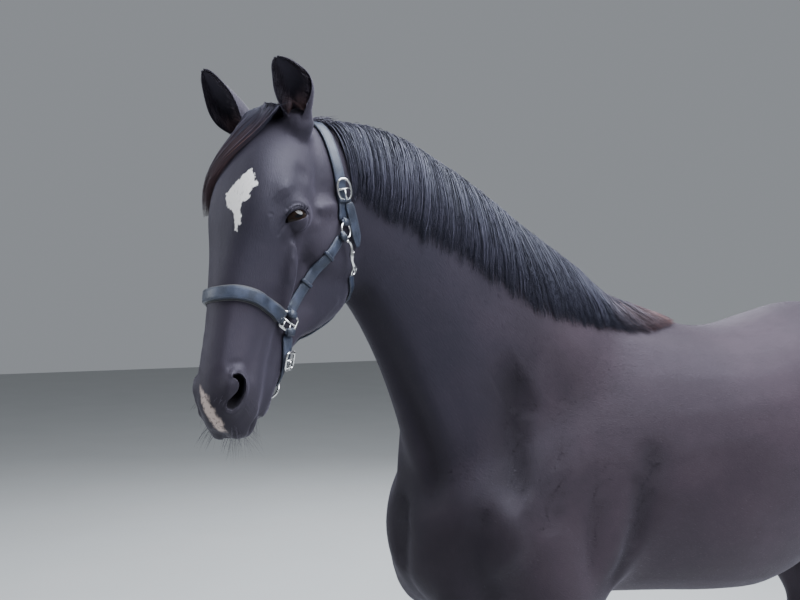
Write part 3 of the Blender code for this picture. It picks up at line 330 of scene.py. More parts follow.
JAW = [
    (-0.070, 0.180, 0.034, 0.060, 0.050, 2.0, 2.0),
    (-0.130, 0.195, 0.056, 0.090, 0.090, 2.0, 2.3),
    (-0.200, 0.195, 0.066, 0.100, 0.105, 2.0, 2.3),
    (-0.270, 0.190, 0.066, 0.095, 0.118, 2.0, 2.3),
    (-0.330, 0.175, 0.056, 0.080, 0.095, 2.0, 2.2),
    (-0.400, 0.150, 0.042, 0.060, 0.042, 2.0, 2.2),
    (-0.470, 0.134, 0.036, 0.045, 0.028, 2.0, 2.2),
    (-0.525, 0.123, 0.036, 0.040, 0.028, 2.0, 2.0),
    (-0.562, 0.116, 0.032, 0.030, 0.026, 2.0, 2.0),
]
# muscles and bones of the left half: start, end, half width, half thickness, the way they face
HEAD_MUSCLES = [
    ((0.062, 0.185, -0.120), (0.060, 0.190, -0.260), 0.090, 0.026, (1, 0.1, 0)),  # cheek
    ((0.058, 0.005, -0.165), (0.078, 0.045, -0.165), 0.040, 0.028, (0.6, -0.5, 0.3)),  # brow
    ((0.080, 0.020, -0.200), (0.076, 0.100, -0.185), 0.038, 0.028, (1, 0, 0.1)),  # orbit
    ((0.082, 0.110, -0.165), (0.074, 0.180, -0.120), 0.018, 0.016, (1, 0, 0)),  # cheek bone behind the eye
    ((0.084, 0.070, -0.258), (0.056, 0.100, -0.372), 0.017, 0.015, (1, 0, 0)),  # facial crest
    ((0.030, 0.030, -0.500), (0.044, 0.036, -0.560), 0.026, 0.022, (1, -0.6, 0)),  # nostril wing
    ((0.016, 0.060, -0.600), (0.030, 0.095, -0.590), 0.022, 0.020, (0.4, -0.4, -1)),  # upper lip
    ((0.052, 0.055, -0.040), (0.066, 0.040, 0.020), 0.034, 0.032, (1, 0, 0)),  # ear root
]
CHIN = ((0, 0.140, -0.512), (0, 0.124, -0.560), 0.028, 0.023, (0, 1, -0.5))


def add_head(body):
    place = head_matrix()
    turn = place.to_3x3()
    for table, count in ((SKULL, 40), (JAW, 30)):
        rings = []
        for z, y, w, front, back, roof, keel in smooth_rows(table, count):
            points = ring_points(
                place @ Vector((0, y, z)), turn @ Vector((1, 0, 0)), turn @ Vector((0, -1, 0)),
                w, front, back, roof, keel,
            )
            rings.append(points)
        loft(body, rings)
    for row in HEAD_MUSCLES:
        both_sides(body, *row, place)
    muscle(body, *CHIN, place)


def mesh_object(name, body):
    bmesh.ops.recalc_face_normals(body, faces=body.faces)
    mesh = bpy.data.meshes.new(name)
    body.to_mesh(mesh)
    body.free()
    thing = bpy.data.objects.new(name, mesh)
    bpy.context.scene.collection.objects.link(thing)
    return thing


def apply(thing):
    """Replaces the object's mesh with what its modifiers make of it."""
    graph = bpy.context.evaluated_depsgraph_get()
    made = bpy.data.meshes.new_from_object(thing.evaluated_get(graph))
    thing.modifiers.clear()
    thing.data = made


def remesh(thing, size):
    cells = thing.modifiers.new("remesh", "REMESH")
    cells.mode = "VOXEL"
    cells.voxel_size = size
    apply(thing)


def points_of(mesh, what="co"):
    place = np.empty(len(mesh.vertices) * 3)
    mesh.vertices.foreach_get(what, place)
    return place.reshape(-1, 3)


def move_points(mesh, place):
    mesh.vertices.foreach_set("co", place.ravel())
    mesh.update()


FILL = 0.8  # how far a hollow gives way in one round


def fill_creases(mesh, rounds, firm, share):
    """Softens the mesh. Hollows fill freely, and what stands proud gives way by the share firm."""
    count = len(mesh.vertices)
    ends = np.empty(len(mesh.edges) * 2, np.int64)
    mesh.edges.foreach_get("vertices", ends)
    a, b = np.ascontiguousarray(ends.reshape(-1, 2).T)
    near = np.bincount(a, minlength=count) + np.bincount(b, minlength=count)
    place = points_of(mesh)
    amount = share(place)[:, None]
    for k in range(rounds):
        if k % 4 == 0:
            move_points(mesh, place)
            normal = points_of(mesh, "normal")
        total = np.stack(
            [np.bincount(a, place[b, d], count) + np.bincount(b, place[a, d], count) for d in range(3)], 1
        )
        pull = total / near[:, None] - place
        hollow = (pull * normal).sum(1) > 0
        place += pull * np.where(hollow, FILL, firm)[:, None] * amount
    move_points(mesh, place)


def ramp(value, low, high):
    t = np.clip((value - low) / (high - low), 0, 1)
    return t * t * (3 - 2 * t)


def high_up(place):
    """Full on the trunk and neck, none on the lower legs."""
    return 0.08 + 0.92 * ramp(place[:, 2], 0.80, 1.00)


def head_points(place):
    """Points in the head's own axes."""
    back = np.array(head_matrix().inverted())
    return place @ back[:3, :3].T + back[:3, 3]


def off_head(place):
    """Full on the body, less on the head and least on the lower legs."""
    own = head_points(place)
    in_head = ramp(-(0.8 * (own[:, 1] - 0.21) + 0.6 * (own[:, 2] + 0.045)), -0.03, 0.03) * (own[:, 1] < 0.4)
    return (1 - 0.5 * in_head) * (0.3 + 0.7 * ramp(place[:, 2], 0.75, 0.95))


HOLLOWS = [
    ((0.096, 0.064, -0.215), 0.016, 0.012, (-1, 0.1, 0)),  # eye socket
    ((0.048, 0.036, -0.548), 0.013, 0.012, (-0.8, 0.5, 0.3)),  # nostril
]


def head_share(place):
    """1 on the head, 0 on the neck and the rest, with a soft border behind the jaw and the poll."""
    own = head_points(place)
    return ramp(0.30 - own[:, 1], -0.04, 0.04) * ramp(own[:, 2], -0.75, -0.66)


def lighten(thing, triangles, firm):
    """Collapses edges down to that many triangles. firm says, point by point, how much of the net is kept."""
    mesh = thing.data
    kept = np.round(firm, 2)
    group = thing.vertex_groups.new(name="loose")
    for level in np.unique(kept):
        group.add(np.nonzero(kept == level)[0].tolist(), float(1 - level), "REPLACE")
    now = sum(len(face.vertices) - 2 for face in mesh.polygons)
    less = thing.modifiers.new("lighten", "DECIMATE")
    less.ratio = triangles / now
    less.vertex_group = "loose"
    less.vertex_group_factor = 1.0
    apply(thing)
    thing.vertex_groups.clear()


def refine(thing, wanted):
    """Halves the edges that lie wholly where they are wanted."""
    body = bmesh.new()
    body.from_mesh(thing.data)
    score = wanted(np.array([v.co for v in body.verts]))
    edges = [e for e in body.edges if score[e.verts[0].index] > 0.5 and score[e.verts[1].index] > 0.5]
    bmesh.ops.subdivide_edges(body, edges=edges, cuts=1, use_grid_fill=True)
    bmesh.ops.triangulate(body, faces=body.faces)
    body.to_mesh(thing.data)
    body.free()


def near_spots(spots):
    """A test for points within reach of some places on either side of the head."""

    def wanted(place):
        own = folded(head_points(place))
        found = np.zeros(len(own))
        for centre, reach in spots:
            found[((own - np.array(centre)) ** 2).sum(1) < reach**2] = 1
        return found

    return wanted


def fuse_body():
    body = bmesh.new()
    add_trunk(body)
    for name in STRIDES:
        add_leg(body, name)
    add_neck(body)
    flesh = mesh_object("skin", body)
    remesh(flesh, BODY_CELL)
    fill_creases(flesh.data, 40, 0.10, high_up)
    body = bmesh.new()
    body.from_mesh(flesh.data)
    add_head(body)
    bpy.data.objects.remove(flesh)
    flesh = mesh_object("skin", body)
    remesh(flesh, SKIN_CELL)
    fill_creases(flesh.data, 8, 0.15, off_head)
    return flesh


# Creases and ridges: a path over the surface, how far they reach to each side and how deep they go.
# A ridge goes the other way. Those of the head are in its own axes, on the left; both sides get them.
EYE = Vector((0.0812, 0.0614, -0.2078))
EYE_RADIUS = 0.0240
GAZE = Vector((0.88, -0.45, -0.08)).normalized()
SLIT = Vector((0, -0.82, -0.57))
SLIT = (SLIT - GAZE * SLIT.dot(GAZE)).normalized()  # from the outer corner to the inner one
LIFT = GAZE.cross(SLIT).normalized()
LIFT = LIFT if LIFT.z > 0 else -LIFT


def by_eye(m, v, n):
    """A place given along the slit of the left eye, up across it, and out of it, in metres."""
    return EYE + SLIT * m + LIFT * v + GAZE * n


HEAD_FOLDS = [
    ([(0.047, 0.106, -0.546), (0.050, 0.100, -0.560), (0.046, 0.092, -0.580), (0.034, 0.088, -0.599),
      (0.016, 0.086, -0.610), (0, 0.085, -0.612)], 0.0028, 0.0062),  # line of the lips
    ([(0.050, 0.090, -0.556), (0.046, 0.082, -0.582), (0.032, 0.078, -0.602), (0, 0.074, -0.614)],
     0.007, -0.0022),  # upper lip
    ([(0.042, 0.104, -0.570), (0.034, 0.100, -0.590), (0, 0.098, -0.603)], 0.006, -0.0024),  # lower lip
    ([(0.045, 0.118, -0.520), (0.038, 0.110, -0.560), (0.024, 0.112, -0.585), (0, 0.114, -0.592)],
     0.006, 0.0022),  # between the lower lip and the chin
    ([(0.086, 0.066, -0.256), (0.080, 0.077, -0.276), (0.072, 0.092, -0.310), (0.056, 0.104, -0.372)],
     0.0110, -0.0022),  # facial crest
    ([(0.084, 0.094, -0.268), (0.070, 0.114, -0.310), (0.056, 0.122, -0.372)], 0.011, 0.0048),
    ([(0.060, 0.058, -0.360), (0.054, 0.060, -0.430), (0.052, 0.056, -0.500)], 0.014, 0.0030),  # nose
    ([(0.036, 0.004, -0.290), (0.032, 0.000, -0.400), (0.028, 0.006, -0.500)], 0.012, -0.0018),  # nasal bone
    ([(0.058, 0.240, -0.300), (0.052, 0.205, -0.375), (0.040, 0.170, -0.440)], 0.010, -0.0030),  # jaw
    ([(0.066, 0.170, -0.330), (0.062, 0.150, -0.250), (0.070, 0.150, -0.170)], 0.016, 0.0030),  # cheek
    ([(0.052, 0.098, -0.470), (0.060, 0.110, -0.400), (0.066, 0.124, -0.320)], 0.004, -0.0012),  # vein
    ([(0.050, 0.066, -0.470), (0.056, 0.080, -0.420), (0.052, 0.098, -0.400)], 0.0035, -0.0010),
    ([(0.078, 0.120, -0.190), (0.070, 0.165, -0.150), (0.062, 0.190, -0.110)], 0.011, -0.0030),  # cheek bone
    ([(0.070, 0.100, -0.120), (0.062, 0.110, -0.060), (0.056, 0.090, -0.010)], 0.014, 0.0030),
]
HEAD_PRESSES = [
    ((0.074, 0.056, -0.118), 0.015, 0.0105, (-1, 0.2, 0)),  # hollow above the eye
    ((0.078, 0.030, -0.152), 0.018, -0.0035, (-1, 0.3, 0)),  # brow
    ((0.080, 0.052, -0.240), 0.014, -0.0045, (-1, 0.4, 0)),  # under the eye
    ((0.066, 0.142, -0.335), 0.034, 0.006, (-1, 0, 0)),  # between cheek and facial crest
    ((0.052, 0.106, -0.546), 0.010, 0.004, (-1, 0, 0)),  # corner of the mouth
    ((0, 0.006, -0.330), 0.030, -0.001, (0, 1, 0)),
    ((0, 0.030, -0.600), 0.016, 0.003, (0, 1, 0.4)),  # dip between the nostrils
    ((0, 0.190, -0.400), 0.030, 0.014, (0, -1, 0)),  # between the jaws
    ((0, 0.230, -0.320), 0.030, 0.012, (0, -1, 0)),
]
RIB_HEIGHT = 0.0011
RIB_SPACE = 0.062  # from one rib to the next
BODY_FOLDS = [
    ([(0.110, -1.008, 1.630), (0.098, -0.950, 1.540), (0.092, -0.903, 1.457), (0.087, -0.824, 1.298),
      (0.084, -0.790, 1.180)], 0.024, 0.0130),  # jugular groove
    ([(0.128, -0.960, 1.640), (0.118, -0.880, 1.500), (0.116, -0.800, 1.340)], 0.026, -0.0060),
    ([(0.159, -0.649, 1.440), (0.168, -0.652, 1.350), (0.177, -0.661, 1.230)], 0.042, 0.0190),  # shoulder
    ([(0.160, -0.600, 1.440), (0.188, -0.616, 1.300), (0.205, -0.640, 1.180)], 0.024, -0.0080),
    ([(0.190, -0.510, 1.400), (0.215, -0.560, 1.240), (0.225, -0.600, 1.130)], 0.020, 0.0050),
    ([(0.235, -0.290, 1.260), (0.230, -0.320, 1.180), (0.226, -0.350, 1.070), (0.215, -0.390, 0.985)],
     0.026, 0.0120),  # behind the upper arm
    ([(0.225, -0.440, 1.240), (0.222, -0.470, 1.120), (0.205, -0.480, 1.020)], 0.020, 0.0060),
    ([(0.0, -0.835, 1.160), (0.0, -0.840, 1.060), (0.0, -0.790, 0.960)], 0.026, 0.0200),  # breast
    ([(0.165, -0.740, 1.150), (0.150, -0.745, 1.060), (0.150, -0.700, 0.980)], 0.022, 0.0110),
    ([(0.200, -0.560, 0.960), (0.190, -0.590, 0.880), (0.176, -0.600, 0.780)], 0.014, 0.0035),  # extensors
    ([(0.195, -0.500, 0.960), (0.186, -0.530, 0.860), (0.172, -0.545, 0.740)], 0.012, 0.0030),
    ([(0.235, 0.330, 1.450), (0.215, 0.470, 1.420), (0.180, 0.600, 1.390)], 0.022, 0.0035),  # behind the hip
    ([(0.225, 0.560, 1.320), (0.220, 0.610, 1.180), (0.205, 0.640, 1.060)], 0.020, 0.0060),  # thigh
    ([(0.190, 0.690, 1.360), (0.200, 0.700, 1.220), (0.180, 0.700, 1.080)], 0.020, 0.0040),
    ([(0.230, 0.330, 1.300), (0.215, 0.270, 1.180), (0.190, 0.250, 1.080)], 0.034, 0.0080),  # flank
    ([(0.200, 0.540, 0.960), (0.190, 0.610, 0.860), (0.170, 0.670, 0.780)], 0.012, 0.0035),  # gaskin
    ([(0.180, 0.690, 0.800), (0.172, 0.740, 0.720)], 0.010, 0.0040),  # before the hamstring tendon
]


def path_gap(place, path):
    """The square of each point's distance from a run of straight pieces."""
    best = np.full(len(place), 9.0)
    for a, b in zip(path, path[1:]):
        a, b = np.array(a), np.array(b)
        span = b - a
        t = np.clip((place - a) @ span / (span @ span), 0, 1)
        best = np.minimum(best, ((place - a - t[:, None] * span) ** 2).sum(1))
    return best


def fold_gap(place, path, finer):
    """The square of each point's distance from a smooth curve through the path."""
    return path_gap(place, smooth_rows(path, finer * len(path)))


def folded(place):
    """The places with those on the right reflected to the left."""
    flat = place.copy()
    flat[:, 0] = abs(flat[:, 0])
    return flat


def painted_shade_share(place):
    """How deep places lie in the hollows between the muscles and how near the throat they are: where the coat
    gets painted shade.
    """
    flat = folded(place)
    found = np.zeros(len(place))
    for path, reach, deep in BODY_FOLDS:
        if deep > 0.0045:
            gap = fold_gap(flat, path, 3)
            found = np.maximum(found, min(1, deep / 0.014) * np.exp(-gap / (1.5 * reach) ** 2))
    # painted shade down the throat, on the underside of the neck
    throat = np.exp(-((flat[:, 0] / 0.10) ** 2)) * ramp(-flat[:, 1], 0.62, 0.80)
    throat = throat * (1 - ramp(flat[:, 2], 1.60, 1.75))
    return np.maximum(found, throat * 0.8)


def head_skin(mesh):
    """The mesh's points and normals in the head's own axes."""
    turn = np.array(head_matrix())[:3, :3]
    return head_points(points_of(mesh)), points_of(mesh, "normal") @ turn / HEAD_SCALE


def move_head_points(mesh, own):
    there = np.array(head_matrix())
    move_points(mesh, own @ there[:3, :3].T + there[:3, 3])


def sculpt_head(mesh):
    """Works the bones, hollows and folds into both sides of the head."""
    own, out = head_skin(mesh)
    for path, reach, deep in HEAD_FOLDS:
        own -= out * (deep * np.exp(-fold_gap(folded(own), path, 4) / reach**2))[:, None]
    for centre, reach, deep, way in HEAD_PRESSES + HOLLOWS:
        for side in (1, -1) if centre[0] else (1,):
            flip = np.array([side, 1, 1])
            gap = ((own - np.array(centre) * flip) ** 2).sum(1)
            push = np.array(Vector(way).normalized()) * flip
            own += deep * np.exp(-gap / reach**2)[:, None] * push
    move_head_points(mesh, own)


def sculpt_body(mesh):
    """Works the edges of muscles into the neck, trunk and thighs, and a hint of ribs behind the elbow."""
    place = points_of(mesh)
    out = points_of(mesh, "normal")
    flat = folded(place)
    for path, reach, deep in BODY_FOLDS:
        place -= out * (deep * np.exp(-fold_gap(flat, path, 3) / reach**2))[:, None]
    wave = np.sin((flat[:, 1] + 0.20 + 0.35 * (1.3 - flat[:, 2])) * math.tau / RIB_SPACE)
    where = np.exp(-(((flat[:, 1] - 0.02) / 0.20) ** 2) - ((flat[:, 2] - 1.16) / 0.14) ** 2)
    where = where * (flat[:, 0] > 0.12)
    place += out * (RIB_HEIGHT * wave * where)[:, None]
    move_points(mesh, place)


FINE_SPOTS = [  # round the eye, the nostril and the lips, where the net is halved once more
    ((0.095, 0.062, -0.208), 0.036), ((0.046, 0.032, -0.543), 0.046),
    ((0.045, 0.100, -0.555), 0.030), ((0.030, 0.088, -0.595), 0.026),
]
skin = fuse_body()
lighten(skin, SKIN_FACES, head_share(points_of(skin.data)))
sculpt_body(skin.data)
refine(skin, head_share)
fill_creases(skin.data, 4, 0.5, head_share)
refine(skin, near_spots(FINE_SPOTS))
sculpt_head(skin.data)
fill_creases(skin.data, 3, 0.6, near_spots([((0.06, 0.062, -0.208), 0.5)]))

EYE_OPEN = (0.0222, 0.0116, 0.0078)  # half length of the slit, its reach up and its reach down
LID = 0.0042  # how far the lids stand off the eyeball, before the skin is drawn in under the coat
LID_FOLDS = [
    ([(-0.0270, -0.002), (-0.0190, 0.0150), (-0.0040, 0.0218), (0.0110, 0.0185), (0.0240, 0.0060)],
     0.0022, 0.0022),
    ([(-0.0300, 0.008), (-0.0180, 0.0250), (0.0010, 0.0310), (0.0180, 0.0250)], 0.0030, 0.0014),
    ([(-0.0225, 0.0040), (-0.0150, 0.0120), (-0.0010, 0.0168), (0.0120, 0.0135), (0.0215, 0.0040)],
     0.0020, -0.0010),
    ([(0.0230, -0.0030), (0.0300, -0.0065), (0.0390, -0.0120), (0.0470, -0.0190)], 0.0022, 0.0022),  # tears
    ([(0.0240, 0.0030), (0.0330, -0.0010), (0.0430, -0.0060)], 0.0024, 0.0012),
]


def polar(own, side):
    """Offsets from that side's eye, and how far out, along the slit, up and forward they reach."""
    flat = own * np.array([side, 1, 1]) - np.array(EYE)
    far = np.linalg.norm(flat, axis=1)
    return flat, far, flat @ np.array(SLIT), flat @ np.array(LIFT), flat @ np.array(GAZE)


def seat_eyes(mesh):
    """Draws the skin over each eyeball and creases the lids."""
    own, out = head_skin(mesh)
    for side in (1, -1):
        flat, far, m, v, n = polar(own, side)
        angle = np.degrees(np.arccos(np.clip(n / np.maximum(far, 1e-6), -1, 1)))
        drawn = (1 - ramp(angle, 34, 80)) * (far < 0.06)
        # the brow overhangs the upper lid a little more than the cheek does the lower one
        wanted = EYE_RADIUS + LID + 0.0008 * ramp(v, 0.004, 0.020)
        lowest = (wanted - 0.0008) * (1 - ramp(angle, 80, 104)) * (far < 0.06)
        drawn_to = np.maximum(far + drawn * (wanted - far), lowest)
        flat = flat * (drawn_to / np.maximum(far, 1e-6))[:, None]
        for path, reach, deep in LID_FOLDS:
            gap = fold_gap(np.stack([m, v, 0 * m], 1), [(*p, 0) for p in path], 4)
            near = np.exp(-gap / reach**2) * (n > 0.004) * (far < 0.07)
            flat -= (out * np.array([side, 1, 1])) * (deep * near)[:, None]
        own = (flat + np.array(EYE)) * np.array([side, 1, 1])
    move_head_points(mesh, own)


def cut_out(thing, cutter, operation="DIFFERENCE"):
    """Cuts one closed shape from the other, or adds it, and drops it."""
    cut = thing.modifiers.new("cut", "BOOLEAN")
    cut.operation = operation
    cut.solver = "MANIFOLD"
    cut.object = cutter
    apply(thing)
    bpy.data.objects.remove(cutter)


def tube_of(rings, name="cutter"):
    body = bmesh.new()
    loft(body, rings)
    return mesh_object(name, body)


def eye_outline(count=48):
    """The opening between the lids, as pairs along the slit and up across it."""
    wide, up, down = EYE_OPEN
    points = []
    for k in range(count):
        a = math.tau * k / count
        c, s = math.cos(a), math.sin(a)
        m = wide * bowed(c, 0.92)
        v = (up if s > 0 else down) * bowed(s, 1.12)
        inner = max(c, 0) ** 6  # the inner corner is drawn out and down into the tear duct
        points.append((m + 0.0035 * inner, v - 0.0020 * inner))
    return points


def open_eyes(thing):
    place = head_matrix()
    for side in (1, -1):
        flip = FLIPS[side]
        rings = [[place @ (by_eye(m, v, n) * flip) for m, v in eye_outline()] for n in (0.004, 0.055)]
        cut_out(thing, tube_of(rings))


# The nostril is a comma: it lies along the back of the wing, and its tail curls forward over the top.
NOSTRIL = Vector((0.0445, 0.0300, -0.543))
NOSTRIL_OUT = Vector((0.80, -0.58, -0.15)).normalized()
NOSTRIL_UP = (Vector((0.10, 0.12, 1)) - NOSTRIL_OUT * Vector((0.10, 0.12, 1)).dot(NOSTRIL_OUT)).normalized()
NOSTRIL_BACK = NOSTRIL_UP.cross(NOSTRIL_OUT)
NOSTRIL_BACK = NOSTRIL_BACK if NOSTRIL_BACK.y > 0 else -NOSTRIL_BACK
COMMA = [
    (-0.010, 0.025), (-0.001, 0.031), (0.009, 0.027), (0.015, 0.014), (0.017, -0.002), (0.015, -0.018),
    (0.008, -0.029), (0.000, -0.029), (-0.004, -0.020), (0.000, -0.009), (0.004, 0.002), (0.003, 0.012),
    (-0.003, 0.018), (-0.010, 0.019),
]


def comma_ring(grow, shift):
    """The nostril's outline, made larger by grow and moved."""
    rows = smooth_rows([(*p, 0) for p in COMMA + COMMA[:1]], 41)[:40]
    return [
        NOSTRIL + NOSTRIL_BACK * (s * grow * 1.18) + NOSTRIL_UP * (v * grow * 1.10) + shift
        for s, v, _ in rows
    ]


def by_nostril(own, side):
    """How far points lie behind that side's nostril, above it and out of it."""
    off = own * np.array([side, 1, 1]) - np.array(NOSTRIL)
    return off @ np.array(NOSTRIL_BACK), off @ np.array(NOSTRIL_UP), off @ np.array(NOSTRIL_OUT)


def open_nostrils(thing):
    place = head_matrix()
    inward = Vector((-0.45, 0.62, 0.64))
    for side in (1, -1):
        flip = FLIPS[side]
        rings = []
        for grow, shift in (
            (1.15, NOSTRIL_OUT * 0.040), (1.02, NOSTRIL_OUT * 0.006), (0.95, NOSTRIL_OUT * -0.004),
            (0.88, NOSTRIL_OUT * -0.010 + inward * 0.004), (0.72, NOSTRIL_OUT * -0.012 + inward * 0.018),
            (0.50, NOSTRIL_OUT * -0.010 + inward * 0.036), (0.25, NOSTRIL_OUT * -0.008 + inward * 0.050),
        ):
            rings.append([place @ (p * flip) for p in comma_ring(grow, shift)])
        cut_out(thing, tube_of(rings))


def flare_nostrils(mesh):
    """Raises the rim round each nostril, and sinks the fold above it."""
    own, out = head_skin(mesh)
    spot = folded(own) - np.array(NOSTRIL)
    ahead = spot @ np.array(NOSTRIL_OUT)
    level = spot - ahead[:, None] * np.array(NOSTRIL_OUT) + np.array(NOSTRIL)
    for grow, reach, deep in ((1.16, 0.0055, -0.0030), (1.62, 0.0060, 0.0016)):
        ring = comma_ring(grow, Vector())
        gap = path_gap(level, ring + ring[:1]) + 0.25 * ahead**2
        own -= out * (deep * np.exp(-gap / reach**2) * (ahead > -0.03))[:, None]
    move_head_points(mesh, own)


# share of the way up, half width, half depth, how far round the back the shell reaches in degrees, wall
EAR = [
    (-0.22, 0.022, 0.022, 165, 0.010),
    (0.00, 0.027, 0.027, 160, 0.010),
    (0.15, 0.033, 0.031, 140, 0.009),
    (0.35, 0.039, 0.032, 118, 0.007),
    (0.55, 0.038, 0.027, 104, 0.0055),
    (0.75, 0.029, 0.019, 92, 0.0045),
    (0.91, 0.018, 0.012, 84, 0.0038),
    (1.00, 0.007, 0.006, 80, 0.003),
]
EAR_ROOT = Vector((0.066, 0.040, 0.004))
EAR_TIP = Vector((0.078, -0.052, 0.096))
EAR_OPENS = {"left": Vector((0.25, -1, 0.1)), "right": Vector((-0.25, -1, 0.1))}
EAR_LEAN = {"left": Vector((-0.012, 0.006, -0.014)), "right": Vector((-0.040, -0.014, 0.0))}
EAR_BOW = 0.012


def ear_frame(side):
    """Root, tip, the way the cup opens, across it, and outwards, in the head's own axes."""
    flip = Vector((1 if side == "left" else -1, 1, 1))
    root, tip = EAR_ROOT * flip, EAR_TIP * flip + EAR_LEAN[side]
    along = (tip - root).normalized()
    opens = (EAR_OPENS[side] - along * along.dot(EAR_OPENS[side])).normalized()
    across = along.cross(opens)
    return root, tip, opens, across, across if across.x * flip.x > 0 else -across


def along_ear(own, side):
    """How far points reach along the ear from its root, and the square of their distance from its line."""
    root, tip, *_ = ear_frame(side)
    gap = own - np.array(root)
    height = gap @ np.array((tip - root).normalized())
    return height, (gap**2).sum(1) - height**2


def ear_point(side, row, share_round, inner):
    """A place on the outer or inner face of the ear, from -1 at one rim to 1 at the other."""
    root, tip, opens, across, out = ear_frame(side)
    share, _, _, w, d, reach, wall = row
    centre = root.lerp(tip, share) + out * EAR_BOW * math.sin(math.pi * max(share, 0))
    turn = math.radians(reach) * share_round
    thin = wall * math.sqrt(max(1 - abs(share_round) ** 6, 0.0)) if inner else 0
    roll = 0.0016 * math.exp(-(((abs(share_round) - 0.93) / 0.05) ** 2)) * (0 < share < 0.98)
    thin -= 0.9 * roll if inner else 0
    return centre - opens * (d - thin) * math.cos(turn) + across * (w - thin) * math.sin(turn)


def ear_shell(side, count=44, half=18):
    place = head_matrix()
    rings = []
    for row in smooth_rows([(r[0], 0, 0, *r[1:]) for r in EAR], count):
        outer = [ear_point(side, row, k / half, False) for k in range(-half, half + 1)]
        inner = [ear_point(side, row, k / half, True) for k in range(half - 1, -half, -1)]
        rings.append([place @ p for p in outer + inner])
    return tube_of(rings)


seat_eyes(skin.data)
flare_nostrils(skin.data)
for side in ("left", "right"):
    cut_out(skin, ear_shell(side), "UNION")


def by_ear_root(place):
    """Full round the foot of each ear, fading up the shell."""
    own = head_points(place)
    found = np.zeros(len(own))
    for side in ("left", "right"):
        height, gap = along_ear(own, side)
        level = 1 - ramp(abs(height + 0.004), 0.012, 0.030)
        found = np.maximum(found, np.exp(-(gap / 0.045**2)) * level)
    return found


fill_creases(skin.data, 14, 0.25, by_ear_root)
place = points_of(skin.data)
spare = (1 - 0.7 * by_ear_root(place))[:, None]
move_points(skin.data, place - points_of(skin.data, "normal") * COAT_DEPTH * spare)
open_eyes(skin)
open_nostrils(skin)


class Value:
    """A number in a material's nodes, which Python's own signs work on."""

    def __init__(self, paint, socket):
        self.paint, self.socket = paint, socket

    def _do(self, operation, *terms):
        return self.paint.add("ShaderNodeMath", {"operation": operation}, terms)

    def __add__(self, other):
        return self._do("ADD", self, other)

    def __sub__(self, other):
        return self._do("SUBTRACT", self, other)

    def __rsub__(self, other):
        return self._do("SUBTRACT", other, self)

    def __mul__(self, other):
        return self._do("MULTIPLY", self, other)

    __radd__, __rmul__ = __add__, __mul__

    def least(self, other):
        return self._do("MINIMUM", self, other)

    def most(self, other):
        return self._do("MAXIMUM", self, other)

    def step(self, low, high):
        """0 below low and 1 above high, with a soft slope between them."""
        settings = {"interpolation_type": "SMOOTHSTEP"}
        span = {"Value": self, "From Min": low, "From Max": high}
        return self.paint.add("ShaderNodeMapRange", settings, span)


class Paint:
    """One material, and a short way to add nodes to it."""

    def __init__(self, name, **finish):
        self.material = bpy.data.materials.new(name)
        self.material.use_nodes = True
        self.tree = self.material.node_tree
        self.shader = self.tree.nodes["Principled BSDF"]
        self.set(finish)

    def put(self, socket, value):
        if isinstance(value, Value):
            self.tree.links.new(value.socket, socket)
        elif hasattr(socket.default_value, "__len__") and len(socket.default_value) == 4 and len(value) == 3:
            socket.default_value = (*value, 1)
        else:
            socket.default_value = value

    def set(self, values):
        for name, value in values.items():
            self.put(self.shader.inputs[name.replace("_", " ")], value)

    def add(self, kind, settings=None, values=(), out=0):
        node = self.tree.nodes.new(kind)
        for name, value in (settings or {}).items():
            setattr(node, name, value)
        for name, value in values.items() if isinstance(values, dict) else enumerate(values):
            self.put(node.inputs[name], value)
        return Value(self, node.outputs[out])

    def place(self):
        return self.add("ShaderNodeTexCoord", out="Object")

    def attribute(self, name, out="Fac"):
        return self.add("ShaderNodeAttribute", {"attribute_name": name}, out=out)

    def parts(self, vector):
        node = self.add("ShaderNodeSeparateXYZ", None, [vector]).socket.node
        return [Value(self, s) for s in node.outputs]

    def stretch(self, vector, scale):
        return self.add("ShaderNodeMapping", None, {"Vector": vector, "Scale": scale})

    def noise(self, vector, scale, detail=3.0, rough=0.55):
        values = {"Vector": vector, "Scale": scale, "Detail": detail, "Roughness": rough}
        return self.add("ShaderNodeTexNoise", None, values)

    def mix(self, share, a, b, kind="MIX"):
        node = self.tree.nodes.new("ShaderNodeMix")
        node.data_type, node.blend_type = "RGBA", kind
        for name, value in (("Factor_Float", share), ("A_Color", a), ("B_Color", b)):
            self.put(next(s for s in node.inputs if s.identifier == name), value)
        return Value(self, next(s for s in node.outputs if s.identifier == "Result_Color"))

    def bump(self, height, deep, strength=1.0):
        return self.add("ShaderNodeBump", None, {"Height": height, "Distance": deep, "Strength": strength})

    def dress(self, thing):
        thing.data.materials.clear()
        thing.data.materials.append(self.material)


BLACK = (0.0062, 0.0050, 0.0066)
BROWN = (0.0390, 0.0265, 0.0345)
PAINTED_SKY_SHEEN = (0.036, 0.038, 0.062)
SKIN_GREY = (0.014, 0.013, 0.016)
PINK = (0.52, 0.42, 0.37)
WHITE = (0.72, 0.70, 0.68)
# corners of the markings across and up the face, in the head's own axes
STAR = [(0.040, -0.137), (0.058, -0.172), (0.050, -0.200), (0.024, -0.226), (0.002, -0.212), (-0.006, -0.186)]
STAR_TAIL = [(0.038, -0.210), (0.032, -0.262), (0.026, -0.262), (0.016, -0.210)]
SNIP = [
    (-0.018, -0.535), (0.006, -0.552), (0.021, -0.588), (0.020, -0.612), (0.000, -0.612), (-0.010, -0.575),
]


def inside(across, up, corners):
    """How far inside a convex outline a point lies, in metres, below 0 outside it."""
    least = None
    for (x0, z0), (x1, z1) in zip(corners, corners[1:] + corners[:1]):
        long = math.hypot(x1 - x0, z1 - z0)
        a, b = (z1 - z0) / long, -(x1 - x0) / long
        edge = (across - x0) * -a + (up - z0) * -b
        least = edge if least is None else least.least(edge)
    return least


